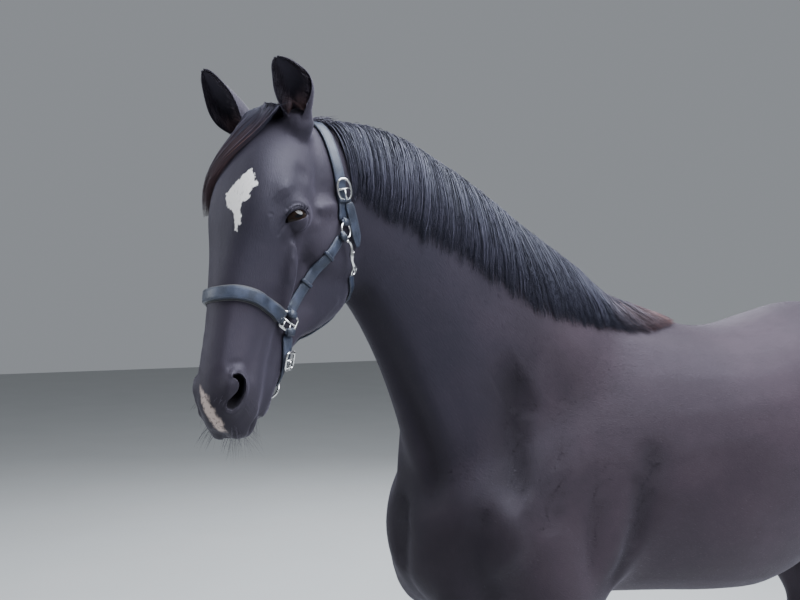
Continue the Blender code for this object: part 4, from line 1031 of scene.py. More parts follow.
def winding(corners):
    """The corners in the order that keeps the inside on the left."""
    area = sum(x0 * z1 - x1 * z0 for (x0, z0), (x1, z1) in zip(corners, corners[1:] + corners[:1]))
    return corners if area > 0 else corners[::-1]


def head_place(paint):
    """The point in the head's own axes, split into its three numbers."""
    there = (Matrix.Translation(MOVED) @ head_matrix()).inverted()
    spot, turn, size = there.decompose()
    mapped = paint.add(
        "ShaderNodeMapping", None,
        {"Vector": paint.place(), "Location": spot, "Rotation": turn.to_euler(), "Scale": size},
    )
    return paint.parts(mapped)


def hide_colour(paint):
    """The coat's colour with its star, the star's tail and the snip, painted shade in the hollows and down
    the throat, a painted sky sheen over the head and neck, and the share of muzzle.
    """
    place = paint.place()
    x, y, z = head_place(paint)
    broad = paint.noise(place, 3.2, 4.0)
    fine = paint.noise(paint.stretch(place, (1, 0.35, 0.5)), 70.0, 3.0)
    _, back, high = paint.parts(place)
    flank = back.step(-0.75, 0.10) * high.step(0.55, 1.00)
    brown = (broad.step(0.35, 0.75) * 0.45 + fine * 0.22 + flank * 0.45).least(1.0)
    # painted shade: the coat is darkened in the hollows between the muscles and down the throat
    sunk = paint.attribute("hollow")
    colour = paint.mix(brown * (1 - sunk * 0.9), BLACK, BROWN)
    # painted sky sheen: a blue-grey tint over the front of the head and neck, kept out of the painted shade
    ahead = (1 - back.step(-0.60, -0.25)) * high.step(1.10, 1.40)
    colour = paint.mix(ahead * (1 - sunk) * 0.23, colour, PAINTED_SKY_SHEEN)
    front = 1 - y.step(0.050, 0.075)
    jag = (paint.noise(paint.stretch(place, (1.0, 1.0, 0.30)), 150.0, 2.0) - 0.5) * 0.016
    hem = (paint.noise(place, 55.0, 2.0) - 0.5) * 0.012
    star = inside(x, z, winding(STAR)).most(inside(x, z, winding(STAR_TAIL))) + jag + hem
    star = star.step(-0.0004, 0.0022) * front * z.step(-0.30, -0.28)
    gaps = paint.noise(paint.stretch(place, (1, 1, 0.25)), 240.0, 2.0).step(0.60, 0.68) * 0.22
    colour = paint.mix(star * (1 - gaps), colour, WHITE)
    muzzle = (1 - z.step(-0.590, -0.470)) * (1 - y.step(0.20, 0.26))
    colour = paint.mix(muzzle * 0.7, colour, SKIN_GREY)
    snip = (inside(x, z, winding(SNIP)) + hem * 1.3 + jag * 0.4).step(-0.002, 0.006)
    snip = snip * (1 - y.step(0.050, 0.064))
    speck = paint.noise(place, 190.0, 3.0).step(0.50, 0.66) * 0.62
    return paint.mix(snip * (1 - speck), colour, PINK), muzzle


def lie_of_hair(paint):
    """Fine streaks that run with the coat: down the face and legs, back and down over neck and body."""
    x, y, z = paint.parts(paint.place())
    hx, hy, hz = head_place(paint)

    def streaks(across, aside, along, scale=520.0):
        spot = paint.add("ShaderNodeCombineXYZ", None, [across, aside, along * 0.16])
        return paint.noise(spot, scale, 3.0, 0.6)

    def slanted(back, down):
        return streaks(x, y * down - z * -back, y * back - z * down)

    face = streaks(hx, hy, hz)
    body = slanted(0.93, 0.36)
    neck = slanted(0.60, 0.80)
    legs = slanted(0.10, 0.99)
    on_neck = (1 - (y - MOVED.y).step(-0.62, -0.36)) * z.step(1.0, 1.3)
    low = 1 - z.step(0.80, 1.00)
    height = body + (neck - body) * on_neck
    height = height + (legs - height) * low
    return height + (face - height) * (1 - hy.step(0.24, 0.30)) * (1 - (hy + hz * -0.2).step(0.26, 0.34))


SKY = (0.80, 0.74, 1.0)  # the tint of soft light in the sleek hair
SLEEK = {
    "Specular_IOR_Level": 0.34, "Specular_Tint": (0.86, 0.81, 1.0), "Sheen_Weight": 0.10,
    "Sheen_Roughness": 0.40, "Sheen_Tint": SKY,
}
hide = Paint("hide", **SLEEK)
tone, muzzle = hide_colour(hide)
grain = lie_of_hair(hide)
pores = hide.noise(hide.place(), 900.0, 2.0)
deep = hide.attribute("inner")  # painted shade inside the ears and nostrils
hide.set({
    "Base Color": hide.mix(deep, tone, (0.0030, 0.0024, 0.0026)),
    "Roughness": (
        0.52 + hide.noise(hide.place(), 26.0) * 0.10 + grain * 0.08 - muzzle * 0.05 + deep * 0.35
        + hide.attribute("hollow") * 0.12
    ),
    "Normal": hide.bump(grain * (1 - muzzle * 0.6) + pores * muzzle * 0.5, 0.0010, 0.6),
})
hide.dress(skin)


def shade_smooth(thing):
    thing.data.polygons.foreach_set("use_smooth", np.ones(len(thing.data.polygons), bool))


skin.data.transform(Matrix.Translation(MOVED))
shade_smooth(skin)
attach(skin, "root")
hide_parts("trunk", "neck", "head", "ear_left", "ear_right")
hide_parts("foreleg_left", "foreleg_right", "hindleg_left", "hindleg_right")


def painted_shade_inside():
    """How far each point of the skin lies inside an ear's cup or a nostril, where the hide gets painted
    shade.
    """
    own = head_points(points_of(skin.data) - MOVED_BY)
    found = np.zeros(len(own))
    for side_name, side in SIDES:
        root, tip, opens, across, outward = ear_frame(side_name)
        along = (tip - root).normalized()
        long = (tip - root).length
        gap = own - np.array(root)
        high = gap @ np.array(along) / long
        bow = np.array(outward) * EAR_BOW
        gap = gap - bow * np.sin(math.pi * np.clip(high, 0, 1))[:, None]
        w = np.interp(high, [r[0] for r in EAR], [r[1] - r[4] * 0.85 for r in EAR])
        d = np.interp(high, [r[0] for r in EAR], [r[2] - r[4] * 0.85 for r in EAR])
        round_it = np.hypot(gap @ np.array(across) / w, gap @ np.array(opens) / d)
        cup = (1 - ramp(round_it, 0.86, 1.02)) * ramp(high, 0.0, 0.12) * (1 - ramp(high, 0.97, 1.0))
        found = np.maximum(found, cup)
        s, up, out = by_nostril(own, side)
        hole = (((s - 0.003) / 0.017) ** 2 + (up / 0.034) ** 2 < 1) * ramp(-out, 0.004, 0.012) * (out > -0.09)
        found = np.maximum(found, hole)
    return found


def keep(thing, name, values):
    """Stores a number for every point, for the material to read."""
    kept = thing.data.attributes.new(name, "FLOAT", "POINT")
    kept.data.foreach_set("value", np.asarray(values, float).ravel())


# painted shade inside the ear cups and nostrils, for the material to read
keep(skin, "inner", painted_shade_inside())
# painted shade in the hollows and down the throat, for the material to read
keep(skin, "hollow", painted_shade_share(points_of(skin.data) - MOVED_BY))


def finish(thing, slot, paint, *nodes):
    """Sets a new piece on the body, in its finish, in the place of the solids that it stands for."""
    shade_smooth(thing)
    paint.dress(thing)
    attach(thing, "root")
    if nodes:
        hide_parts(*nodes)


def on_skin(place):
    """The nearest place on the skin, and the way out of it."""
    return hide_tree.find_nearest(place)[:2]


def to_world(own, side=1):
    """A place in the head's own axes, on its left or right, where the model stands."""
    return MOVED + head_matrix() @ (Vector(own) * FLIPS[side])


# ================================================================ eyes
# A horse's eyeball is a wet brown ball with a long level pupil and a duller rim beyond the iris.
# Each is a ball with a cornea raised on it, set behind the lids.

eye_wet = Paint("eye", Roughness=0.06, Specular_IOR_Level=0.16, Coat_Weight=0.35, Coat_Roughness=0.02)
m, v, _ = eye_wet.parts(eye_wet.attribute("gaze", out="Vector"))
ring = m * m * 0.8 + v * v * 1.15
pupil = 1 - (m * m * 9 + v * v * 42).step(0.75, 1.15)
spokes = eye_wet.noise(eye_wet.stretch(eye_wet.attribute("gaze", out="Vector"), (4, 9, 2)), 3.0, 4.0)
iris = eye_wet.mix(spokes, (0.0050, 0.0026, 0.0018), (0.0160, 0.0075, 0.0042))
iris = eye_wet.mix(ring.step(0.40, 0.62), iris, (0.004, 0.003, 0.003))
iris = eye_wet.mix(ring.step(0.72, 0.90), iris, (0.045, 0.030, 0.028))
eye_wet.set({"Base Color": eye_wet.mix(pupil, iris, (0.0015, 0.0016, 0.003))})

for name, side in SIDES:
    bpy.ops.mesh.primitive_uv_sphere_add(segments=72, ring_count=48, radius=1.0)
    ball = bpy.context.object
    ball.name = "eyeball_" + name
    ways = np.array([v.co for v in ball.data.vertices])
    # the poles of the ball lie along the gaze, so that its rings run round the pupil
    raised = EYE_RADIUS + 0.0016 * ramp(ways[:, 2], 0.72, 1.0)
    spots = [EYE + SLIT * (w[0] * r) + LIFT * (w[1] * r) + GAZE * (w[2] * r) for w, r in zip(ways, raised)]
    ball.data.vertices.foreach_set("co", np.array([to_world(p, side) for p in spots]).ravel())
    kept = ball.data.attributes.new("gaze", "FLOAT_VECTOR", "POINT")
    kept.data.foreach_set("vector", ways.ravel())
    body = bmesh.new()
    body.from_mesh(ball.data)
    bmesh.ops.recalc_face_normals(body, faces=body.faces)
    body.to_mesh(ball.data)
    body.free()
    finish(ball, "eye", eye_wet, "eye_" + name)

# ================================================================ hooves
# Each hoof is a horn wall that grows down from the coronet in faint rings, with a flat bearing edge.
# The wall is lofted ring by ring, and a flat sole closes it.

CORONET_HEIGHT = 0.075
CORONET_DROP = 0.36  # how steeply the coronet falls from toe to heel
HOOF_SLOPE = 0.52  # how far the wall leans for each metre of height
# share of the height, half width, reach to the toe, reach to the heel
HOOF = [
    (0.00, 0.066, 0.074, 0.058), (0.05, 0.0665, 0.0745, 0.059),
    (0.92, 0.055, 0.058, 0.053), (1.00, 0.052, 0.055, 0.050),
]
HOOF_ROUND = 72
HOOF_RINGS = 46
HOOF_RIPPLE = 0.00045


def hoof_ring(x, y, share, w, toe, heel, swell):
    ring = []
    for k in range(HOOF_ROUND):
        turn = math.tau * k / HOOF_ROUND
        c, s = math.cos(turn), math.sin(turn)
        across = (w + swell) * bowed(c, 0.9)
        along = -((toe if s > 0 else heel) + swell) * bowed(s, 0.95 if s > 0 else 0.7)
        top = CORONET_HEIGHT + 0.001 - CORONET_DROP * along / (1 + CORONET_DROP * HOOF_SLOPE)
        z = share * top
        ring.append(Vector((x + across, y + along + HOOF_SLOPE * (z - CORONET_HEIGHT), z)) + MOVED)
    return ring


def foot_of(name):
    """Where the middle of a hoof stands, at the end of its leg."""
    front, side = name.split("_")
    table, top = (FORELEG, FORE_TOP) if front == "fore" else (HINDLEG, HIND_TOP)
    return table[-1][1] * (1 if side == "left" else -1), table[-2][2] + swing(0.08, top, STRIDES[name])


horn = Paint("horn", Roughness=0.4, Specular_IOR_Level=0.45)
_, _, high = horn.parts(horn.place())
streaks = horn.noise(horn.stretch(horn.place(), (1, 1, 0.08)), 150.0, 4.0)
bands = horn.noise(horn.stretch(horn.place(), (0.04, 0.04, 1)), 190.0, 3.0)
worn = 1 - high.step(0.004, 0.020)
colour = horn.mix(streaks.step(0.3, 0.75), (0.030, 0.025, 0.023), (0.085, 0.068, 0.056))
colour = horn.mix(bands.step(0.45, 0.7) * 0.5, colour, (0.11, 0.092, 0.078))
horn.set({
    "Base Color": horn.mix(worn * 0.6, colour, (0.13, 0.11, 0.09)),
    "Roughness": 0.34 + bands * 0.18 + worn * 0.25,
    "Normal": horn.bump(bands * 0.7 + streaks * 0.4, 0.0006),
})

for name in STRIDES:
    where = foot_of(name)
    rings = []
    for k, (share, w, toe, heel) in enumerate(smooth_rows(HOOF, HOOF_RINGS)):
        ripple = HOOF_RIPPLE * math.sin(share * 38 + 0.8 * math.sin(share * 9))
        ripple = ripple * ramp(share, 0.05, 0.15) * (1 - ramp(share, 0.88, 0.95))
        lip = 0.0012 * math.exp(-(((share - 0.955) / 0.03) ** 2))
        rings.append(hoof_ring(*where, share, w, toe, heel, float(ripple) + lip))
    body = bmesh.new()
    loft(body, rings)
    hoof = mesh_object("horn_" + name, body)
    finish(hoof, "hoof", horn, "hoof_" + name)

# ================================================================ mane
# The mane grows from a line along the crest and is combed down the left of the neck, swept back
# toward the withers, where its ends are bleached. Locks of tapering hairs are laid over the skin.

RANDOM = np.random.default_rng(7)
hide_tree = BVHTree.FromObject(skin, bpy.context.evaluated_depsgraph_get())


def net(name, points, quads=None, tris=None):
    """A mesh object from arrays of points and faces."""
    mesh = bpy.data.meshes.new(name)
    mesh.vertices.add(len(points))
    mesh.vertices.foreach_set("co", np.asarray(points, float).ravel())
    sets = [f for f in (quads, tris) if f is not None and len(f)]
    corners = np.concatenate([f.ravel() for f in sets])
    sizes = np.concatenate([np.full(len(f), f.shape[1]) for f in sets])
    mesh.loops.add(len(corners))
    mesh.loops.foreach_set("vertex_index", corners)
    mesh.polygons.add(len(sizes))
    mesh.polygons.foreach_set("loop_start", np.concatenate([[0], np.cumsum(sizes)[:-1]]))
    mesh.update(calc_edges=True)
    thing = bpy.data.objects.new(name, mesh)
    bpy.context.scene.collection.objects.link(thing)
    return thing


def ease(rows):
    """Smooths the rows between the first and the last, in place."""
    rows[1:-1] = (rows[:-2] + 2 * rows[1:-1] + rows[2:]) / 4


def blend(values, i, j):
    """Values of a grid at fractional rows and columns."""
    i0, j0 = i.astype(int), j.astype(int)
    u, w = (i - i0)[..., None], (j - j0)[..., None]
    return (
        values[i0, j0] * (1 - u) * (1 - w) + values[i0 + 1, j0] * u * (1 - w)
        + values[i0, j0 + 1] * (1 - u) * w + values[i0 + 1, j0 + 1] * u * w
    )


def unit(rows):
    return rows / np.maximum(np.linalg.norm(rows, axis=-1, keepdims=True), 1e-9)


def hairs(name, lines, outs, widths, tones, bleach):
    """Three-sided tapering hairs along lines of points, a flat side down and a ridge outward."""
    count, steps, _ = lines.shape
    along = unit(np.gradient(lines, axis=1))
    side = unit(np.cross(along, outs))
    out = np.cross(side, along)
    half = widths[..., None] / 2
    rows = np.stack([lines - side * half, lines + out * half * 0.7, lines + side * half], 2)
    points = rows.reshape(-1, 3)
    index = np.arange(count * steps * 3).reshape(count, steps, 3)
    a, b = index[:, :-1], index[:, 1:]
    quads = [
        np.stack([a[..., i], a[..., j], b[..., j], b[..., i]], -1).reshape(-1, 4)
        for i, j in ((0, 1), (1, 2), (2, 0))
    ]
    tris = [index[:, 0, [2, 1, 0]], index[:, -1, [0, 1, 2]]]
    thing = net(name, points, np.concatenate(quads)[:, ::-1], np.concatenate(tris)[:, ::-1])
    run = np.broadcast_to(np.linspace(0, 1, steps)[None, :, None], (count, steps, 3))
    keep(thing, "run", run)
    keep(thing, "tone", np.broadcast_to(tones[:, None, None], (count, steps, 3)))
    keep(thing, "bleach", np.broadcast_to(bleach[..., None], (count, steps, 3)))
    return thing


def taper(steps, root=0.7, tip=0.12):
    """The width of a hair along its length, as a share of its widest."""
    s = np.linspace(0, 1, steps)
    return (root + (1 - root) * ramp(s, 0, 0.2)) * (1 - (1 - tip) * ramp(s, 0.45, 1.0))


hair_paint = Paint(
    "hair", Specular_IOR_Level=0.42, Specular_Tint=(0.78, 0.83, 1.0), Sheen_Weight=0.10, Sheen_Roughness=0.4,
    Sheen_Tint=SKY,
)
strand, along, faded = (hair_paint.attribute(k) for k in ("tone", "run", "bleach"))
colour = hair_paint.mix(strand, (0.0080, 0.0082, 0.0145), (0.042, 0.041, 0.066))
colour = hair_paint.mix((faded * (0.55 + strand * 0.6)).least(1.0), colour, (0.26, 0.130, 0.110))
fibre = hair_paint.noise(hair_paint.place(), 420.0, 2.0)
hair_paint.set({
    "Base Color": hair_paint.mix(fibre * 0.35, colour, (0.005, 0.005, 0.008)),
    "Roughness": 0.38 + strand * 0.14 + fibre * 0.08,
    "Normal": hair_paint.bump(fibre, 0.0005, 0.6),
})

MANE_SPAN = (0.03, 0.90)
GRID_T = np.linspace(-0.40, 0.97, 90)
GRID_A = np.linspace(-0.045, 0.30, 40)


def crest_grid():
    """Places and outward ways on the skin, by share of the way up the neck and distance down its left."""
    spots = np.zeros((len(GRID_T), len(GRID_A), 3))
    outs = spots.copy()
    for i, t in enumerate(GRID_T):
        at, left, crest = neck_frame(float(t))
        at = at + MOVED
        rows, gone = [], [0.0]
        for turn in np.radians(np.arange(-32, 118, 2.0)):
            way = crest * math.cos(turn) + left * math.sin(turn)
            spot, out, _, _ = hide_tree.ray_cast(at + way * 0.8, -way)
            if spot is None:
                continue
            if rows:
                gone.append(gone[-1] + (spot - rows[-1][0]).length)
            rows.append((spot, out, turn))
        gone = np.array(gone) - np.interp(0.0, [r[2] for r in rows], gone)
        for d in range(3):
            spots[i, :, d] = np.interp(GRID_A, gone, [r[0][d] for r in rows])
            outs[i, :, d] = np.interp(GRID_A, gone, [r[1][d] for r in rows])
    for _ in range(3):
        ease(outs)
        ease(outs.swapaxes(0, 1))
        ease(spots)
    return spots, unit(outs)


crest_spots, crest_outs = crest_grid()
crest_step = np.linalg.norm(np.diff(crest_spots[:, 5], axis=0), axis=1).mean()
T_PER_METRE = 1 / (crest_step / (GRID_T[1] - GRID_T[0]))


def on_grid(values, t, a):
    """Values of the crest's grid at any share up the neck and distance down it."""
    i = np.clip((t - GRID_T[0]) / (GRID_T[1] - GRID_T[0]), 0, len(GRID_T) - 1.001)
    j = np.clip((a - GRID_A[0]) / (GRID_A[1] - GRID_A[0]), 0, len(GRID_A) - 1.001)
    return blend(values, i, j)


# share of the way up the neck, and how far down from the crest the mane's lower edge hangs there
MANE_EDGE = [
    (-0.02, 0.0), (0.00, 0.03), (0.03, 0.105), (0.062, 0.142), (0.108, 0.149), (0.154, 0.162), (0.200, 0.197),
    (0.247, 0.228), (0.293, 0.247), (0.339, 0.250), (0.431, 0.239), (0.524, 0.231), (0.662, 0.231),
    (0.754, 0.226), (0.801, 0.217), (0.847, 0.198), (0.95, 0.180),
]
MANE_LEAN = ([0.0, 0.2, 0.5, 0.8], [62, 60, 52, 26])  # degrees back from straight down, up the neck


def mane_hairs(name, count, locks, layer, steps, wide, gather):
    """Hairs in locks. layer is the range of heights off the skin, as a share of the mane's thickness."""
    lock_t = np.sort(RANDOM.uniform(MANE_SPAN[0] - 0.02, MANE_SPAN[1] + 0.015, locks))
    lock_long = RANDOM.uniform(0.90, 1.05, locks)
    lock_lean = RANDOM.normal(0, 0.06, locks)
    lock_high = RANDOM.uniform(*layer, locks)
    which = RANDOM.integers(0, locks, count)
    t0 = lock_t[which] + RANDOM.normal(0, 0.0085, count)
    a0 = RANDOM.uniform(-0.022, 0.016, count)
    off = (t0 - lock_t[which])[:, None]
    fine = 48
    far = np.linspace(0, 1, fine)[None, :]
    a = a0[:, None] + (0.40 - a0)[:, None] * far
    back = np.radians(np.interp(lock_t, *MANE_LEAN))[which] + lock_lean[which]
    back = back[:, None] * (0.72 + 0.34 * ramp(a, 0, 0.13))
    slide = np.cumsum(np.tan(np.minimum(back, 1.25)) * np.gradient(a, axis=1), axis=1) * T_PER_METRE
    t = t0[:, None] - slide + slide[:, :1]
    edge = np.interp(t, *zip(*MANE_EDGE)) * (lock_long[which] * RANDOM.uniform(0.88, 1.03, count))[:, None]
    stop = np.maximum(np.argmax((a >= edge) | (far > 0.99), axis=1), 3)
    s = np.linspace(0, 1, steps)[None, :]
    k = np.clip(s * stop[:, None], 0, fine - 1.001)
    low = k.astype(int)
    rest = k - low
    row = np.arange(count)[:, None]
    a = a[row, low] * (1 - rest) + a[row, low + 1] * rest
    t = t[row, low] * (1 - rest) + t[row, low + 1] * rest
    wave = RANDOM.uniform(0, math.tau, (count, 1))
    t = t - off * gather * ramp(s, 0.15, 0.9) + 0.0016 * np.sin(s * 7 + wave) * s
    full = np.interp(t0, [0.0, 0.12, 0.84, 0.92], [0.55, 1.0, 1.0, 0.75])
    thick = 0.021 * full[:, None] * (1 - 0.42 * np.clip(a / 0.22, 0, 1))
    lift = thick * (lock_high[which] + RANDOM.normal(0, 0.05, count))[:, None] * ramp(s, -0.06, 0.30)
    lift = np.maximum(lift * (1 - 0.35 * ramp(s, 0.75, 1.0)) - 0.004 * (1 - ramp(s, -0.05, 0.22)), -0.004)
    outs = on_grid(crest_outs, t, a)
    lines = on_grid(crest_spots, t, a) + outs * lift[..., None]
    widths = RANDOM.uniform(*wide, count)[:, None] * taper(steps)[None, :]
    tones = np.clip(RANDOM.normal(0.45, 0.22, count) + RANDOM.normal(0, 0.15, locks)[which], 0, 1)
    bleach = np.clip((0.22 - t0) / 0.14, 0, 1)[:, None] * ramp(s, 0.1, 0.7)
    bleach = bleach * RANDOM.uniform(0.1, 1.0, (count, 1))
    return hairs(name, lines, outs, widths, tones, bleach)


# name, how many hairs and locks, range of heights, points along a hair, widths, how far locks draw in
MANE_LAYERS = [
    ("mane_under", 2000, 300, (0.05, 0.55), 10, (0.0035, 0.0060), 0.30),
    ("mane_locks", 2600, 230, (0.50, 1.00), 12, (0.0024, 0.0044), 0.70),
    ("mane_fine", 2100, 700, (0.66, 1.04), 12, (0.0010, 0.0020), 0.45),
]
for row in MANE_LAYERS:
    finish(mane_hairs(*row), "hair", hair_paint, *(["mane"] if row[0] == "mane_under" else []))

# ================================================================ forelock
# The forelock comes forward between the ears and falls to the right of the forehead. Its hairs start
# in a whorl on the poll and thin out to bleached tips beside the right eye.

# distance left, behind and up in the head's own axes, half width, thickness
FORELOCK = [
    (0.002, 0.078, 0.054, 0.022, 0.012),
    (0.004, 0.050, 0.046, 0.036, 0.026),
    (0.004, 0.016, 0.028, 0.046, 0.030),
    (-0.008, -0.018, -0.010, 0.054, 0.026),
    (-0.034, -0.032, -0.055, 0.052, 0.022),
    (-0.062, -0.028, -0.100, 0.042, 0.022),
    (-0.088, -0.012, -0.145, 0.034, 0.022),
    (-0.104, 0.000, -0.200, 0.022, 0.016),
]


BAND_ROWS = 40
BAND_COLUMNS = 9


def forelock_hairs(name, count, locks=46, steps=14):
    """Hairs in locks over a band that follows the forelock's path across the skin."""
    rows = smooth_rows(FORELOCK, BAND_ROWS)
    spots, outs = [], []
    across = np.linspace(-1, 1, BAND_COLUMNS)
    for i, (x, y, z, w, thick) in enumerate(rows):
        here = to_world((x, y, z))
        ahead, behind = (to_world(rows[k][:3]) for k in (min(i + 1, BAND_ROWS - 1), max(i - 1, 0)))
        normal = on_skin(here)[1]
        side = (ahead - behind).cross(normal).normalized()
        line = [on_skin(here + side * w * float(u)) for u in across]
        spots.append([p[0] for p in line])
        outs.append([p[1] for p in line])
    spots, outs = np.array(spots), np.array(outs)
    for _ in range(6):
        ease(spots)
        ease(outs)
    start = RANDOM.uniform(0.0, 0.30, count)
    end = np.clip(RANDOM.normal(0.86, 0.12, count), 0.5, 1.02)
    s = np.linspace(0, 1, steps)[None, :]
    u = (start[:, None] + (end - start)[:, None] * s) * (BAND_ROWS - 1)
    which = RANDOM.integers(0, locks, count)
    lock_side = RANDOM.uniform(-0.95, 0.95, locks)
    v0 = np.clip(lock_side[which] + RANDOM.normal(0, 0.09, count), -1, 1)
    v = v0[:, None] + (lock_side[which] - v0)[:, None] * 0.6 * ramp(s, 0.2, 1)
    v = np.clip(v + 0.05 * np.sin(s * 5 + which[:, None]) * s, -1, 1)
    i = np.clip(u, 0, BAND_ROWS - 1.001)
    j = (v + 1) / 2 * (BAND_COLUMNS - 1.001)
    thick = np.interp(u, np.arange(BAND_ROWS), rows[:, 4]) * (1 - 0.5 * v * v)
    rise = RANDOM.uniform(0.15, 1.1, count)[:, None]
    lift = thick * rise * ramp(s, 0, 0.22) - 0.003 * (1 - ramp(s, 0, 0.1))
    out = unit(blend(outs, i, j))
    widths = RANDOM.uniform(0.0010, 0.0026, count)[:, None] * taper(steps, tip=0.08)[None, :]
    tones = np.clip(RANDOM.normal(0.35, 0.25, count), 0, 1)
    fade = ramp(s, 0.25, 0.85) * (0.35 + 0.65 * abs(v) ** 1.5) * RANDOM.uniform(0.2, 1, (count, 1))
    return hairs(name, blend(spots, i, j) + out * lift[..., None], out, widths, tones, fade)


finish(forelock_hairs("forelock_hair", 1800), "hair", hair_paint, "forelock")

# ================================================================ tail
# The tail is carried a little away from the quarters on its dock, and falls in long heavy hair to
# below the hocks. A dark core fills it, and hairs in locks hang round that and thin out at the end.

# distance back and up, half width, half depth
TAIL = [
    (0.770, 1.490, 0.030, 0.030), (0.830, 1.480, 0.038, 0.034), (0.885, 1.420, 0.046, 0.040),
    (0.915, 1.320, 0.062, 0.046), (0.925, 1.180, 0.078, 0.052), (0.925, 1.000, 0.086, 0.056),
    (0.920, 0.820, 0.082, 0.054), (0.915, 0.660, 0.070, 0.048), (0.910, 0.540, 0.052, 0.038),
    (0.908, 0.450, 0.026, 0.020),
]
TAIL_STEPS = 60
TAIL_ROWS = smooth_rows([(0, *row) for row in TAIL], TAIL_STEPS)
TAIL_ALONG = unit(np.gradient(TAIL_ROWS[:, :3], axis=0))
TAIL_UP = np.cross(np.array([[1.0, 0, 0]]), TAIL_ALONG)


def tail_at(u, turn, share):
    """Places and outward ways by share of the tail's length, round it, and out from its middle."""
    k = np.arange(TAIL_STEPS) / (TAIL_STEPS - 1)
    spot = np.stack([np.interp(u, k, TAIL_ROWS[:, d]) for d in range(3)], -1)
    up = np.stack([np.interp(u, k, TAIL_UP[:, d]) for d in range(3)], -1)
    w, d = np.interp(u, k, TAIL_ROWS[:, 3]), np.interp(u, k, TAIL_ROWS[:, 4])
    side = np.array([1.0, 0, 0])
    spot = spot + side * (w * share * np.cos(turn))[..., None] + up * (d * share * np.sin(turn))[..., None]
    return spot + MOVED_BY, unit(side * (np.cos(turn) / w)[..., None] + up * (np.sin(turn) / d)[..., None])


CORE_ROUND = 28
CORE_SHARE = 0.80  # of the tail's thickness
turns = np.linspace(0, math.tau, CORE_ROUND, endpoint=False)
core = []
for u in np.linspace(0.02, 0.90, 50):
    spots, _ = tail_at(np.full(CORE_ROUND, u), turns, np.full(CORE_ROUND, CORE_SHARE))
    core.append([Vector(p) for p in spots])
tail_core = tube_of(core, "tail_core")
for key, value in (("tone", 0.15), ("run", 0.5), ("bleach", 0.0)):
    keep(tail_core, key, np.full(len(tail_core.data.vertices), value))
finish(tail_core, "hair", hair_paint, "tail")


def tail_hairs(name, count, locks, wide, steps=13):
    """Hairs in locks round the core, from the dock to the end of the tail."""
    lock_turn = RANDOM.uniform(0, math.tau, locks)
    lock_end = np.clip(RANDOM.normal(0.93, 0.08, locks), 0.6, 1.0)
    which = RANDOM.integers(0, locks, count)
    start = RANDOM.uniform(0.0, 0.34, count) ** 1.1
    end = np.clip(lock_end[which] * RANDOM.uniform(0.85, 1.0, count), 0.5, 1.0)
    s = np.linspace(0, 1, steps)[None, :]
    u = start[:, None] + (end - start)[:, None] * s
    turn0 = lock_turn[which] + RANDOM.normal(0, 0.11, count)
    turn = turn0[:, None] + (lock_turn[which] - turn0)[:, None] * 0.7 * ramp(s, 0.2, 1.0)
    turn = turn + 0.10 * np.sin(s * 6 + which[:, None] * 2.1) * s
    share = RANDOM.uniform(CORE_SHARE, 1.0, count)[:, None] * (0.72 + 0.28 * ramp(s, 0, 0.25))
    share = share * (1 - 0.25 * ramp(s, 0.85, 1.0))
    spots, outs = tail_at(u, turn, share)
    widths = RANDOM.uniform(*wide, count)[:, None] * taper(steps)[None, :]
    tones = np.clip(RANDOM.normal(0.42, 0.2, count) + RANDOM.normal(0, 0.14, locks)[which], 0, 1)
    bleach = ramp(u, 0.60, 1.0) * RANDOM.uniform(0, 0.55, (count, 1))
    return hairs(name, spots, outs, widths, tones, bleach)


finish(tail_hairs("tail_hair", 2300, 150, (0.0022, 0.0046)), "hair", hair_paint)

# ================================================================ headcollar leather
# Straps of blue-black leather, stitched along both edges. The noseband lies on a soft lining.
# Every strap is laid over the hide and swept from one section.

STRAP_RISE = 0.0022  # how far a strap's underside lies off the skin
# the straps' paths over the left of the head, in its own axes
NOSEBAND = [
    (0.050, 0.108, -0.381), (0.056, 0.066, -0.375), (0.050, 0.022, -0.367), (0.032, -0.008, -0.371),
    (0, -0.016, -0.380),
]
CHIN_STRAP = [(0.050, 0.134, -0.404), (0.046, 0.150, -0.435), (0.036, 0.158, -0.470), (0, 0.160, -0.497)]
CROWN = [
    (0.074, 0.186, -0.156), (0.080, 0.165, -0.095), (0.068, 0.135, -0.035),
    (0.040, 0.116, 0.030), (0, 0.108, 0.050),
]
THROATLATCH = [
    (0.064, 0.262, -0.236), (0.052, 0.288, -0.256), (0.030, 0.305, -0.268), (0, 0.312, -0.268),
    (-0.035, 0.300, -0.250), (-0.060, 0.262, -0.225), (-0.070, 0.215, -0.192),
]
CHEEK_STRAP = [(0.052, 0.128, -0.362), (0.062, 0.146, -0.298), (0.074, 0.166, -0.235), (0.076, 0.184, -0.190)]
JOWL_STRAP = [(0, 0.204, -0.452), (0, 0.234, -0.405), (0, 0.270, -0.345), (0, 0.300, -0.295)]
BILLET = [(0.080, 0.186, -0.112), (0.082, 0.214, -0.145), (0.078, 0.242, -0.184)]
SNAP = [
    (0.076, 0.192, -0.194), (0.076, 0.207, -0.188), (0.074, 0.216, -0.198), (0.073, 0.214, -0.210),
    (0.071, 0.220, -0.220), (0.069, 0.234, -0.222), (0.067, 0.250, -0.228),
]
SQUARE = (0.050, 0.126, -0.382)
RING = (0.075, 0.189, -0.174)
CROWN_BUCKLE = (0.078, 0.168, -0.094)
CHIN_BUCKLE = (0.043, 0.154, -0.448)
CHIN_RING = (0, 0.172, -0.500)
STITCH = 0.0042  # from one stitch to the next
CHANNELS = (3, 21)  # the section's points that lie in the stitched channels
BUCKLE_LIFT = 0.0100  # of a buckle's middle off the skin
FITTING_LIFT = 0.0094  # of a ring's or a square's


def mirrored(path):
    """The path and its reflection, as one run from the left to the right."""
    return path + [(-x, y, z) for x, y, z in reversed(path[:-1])]


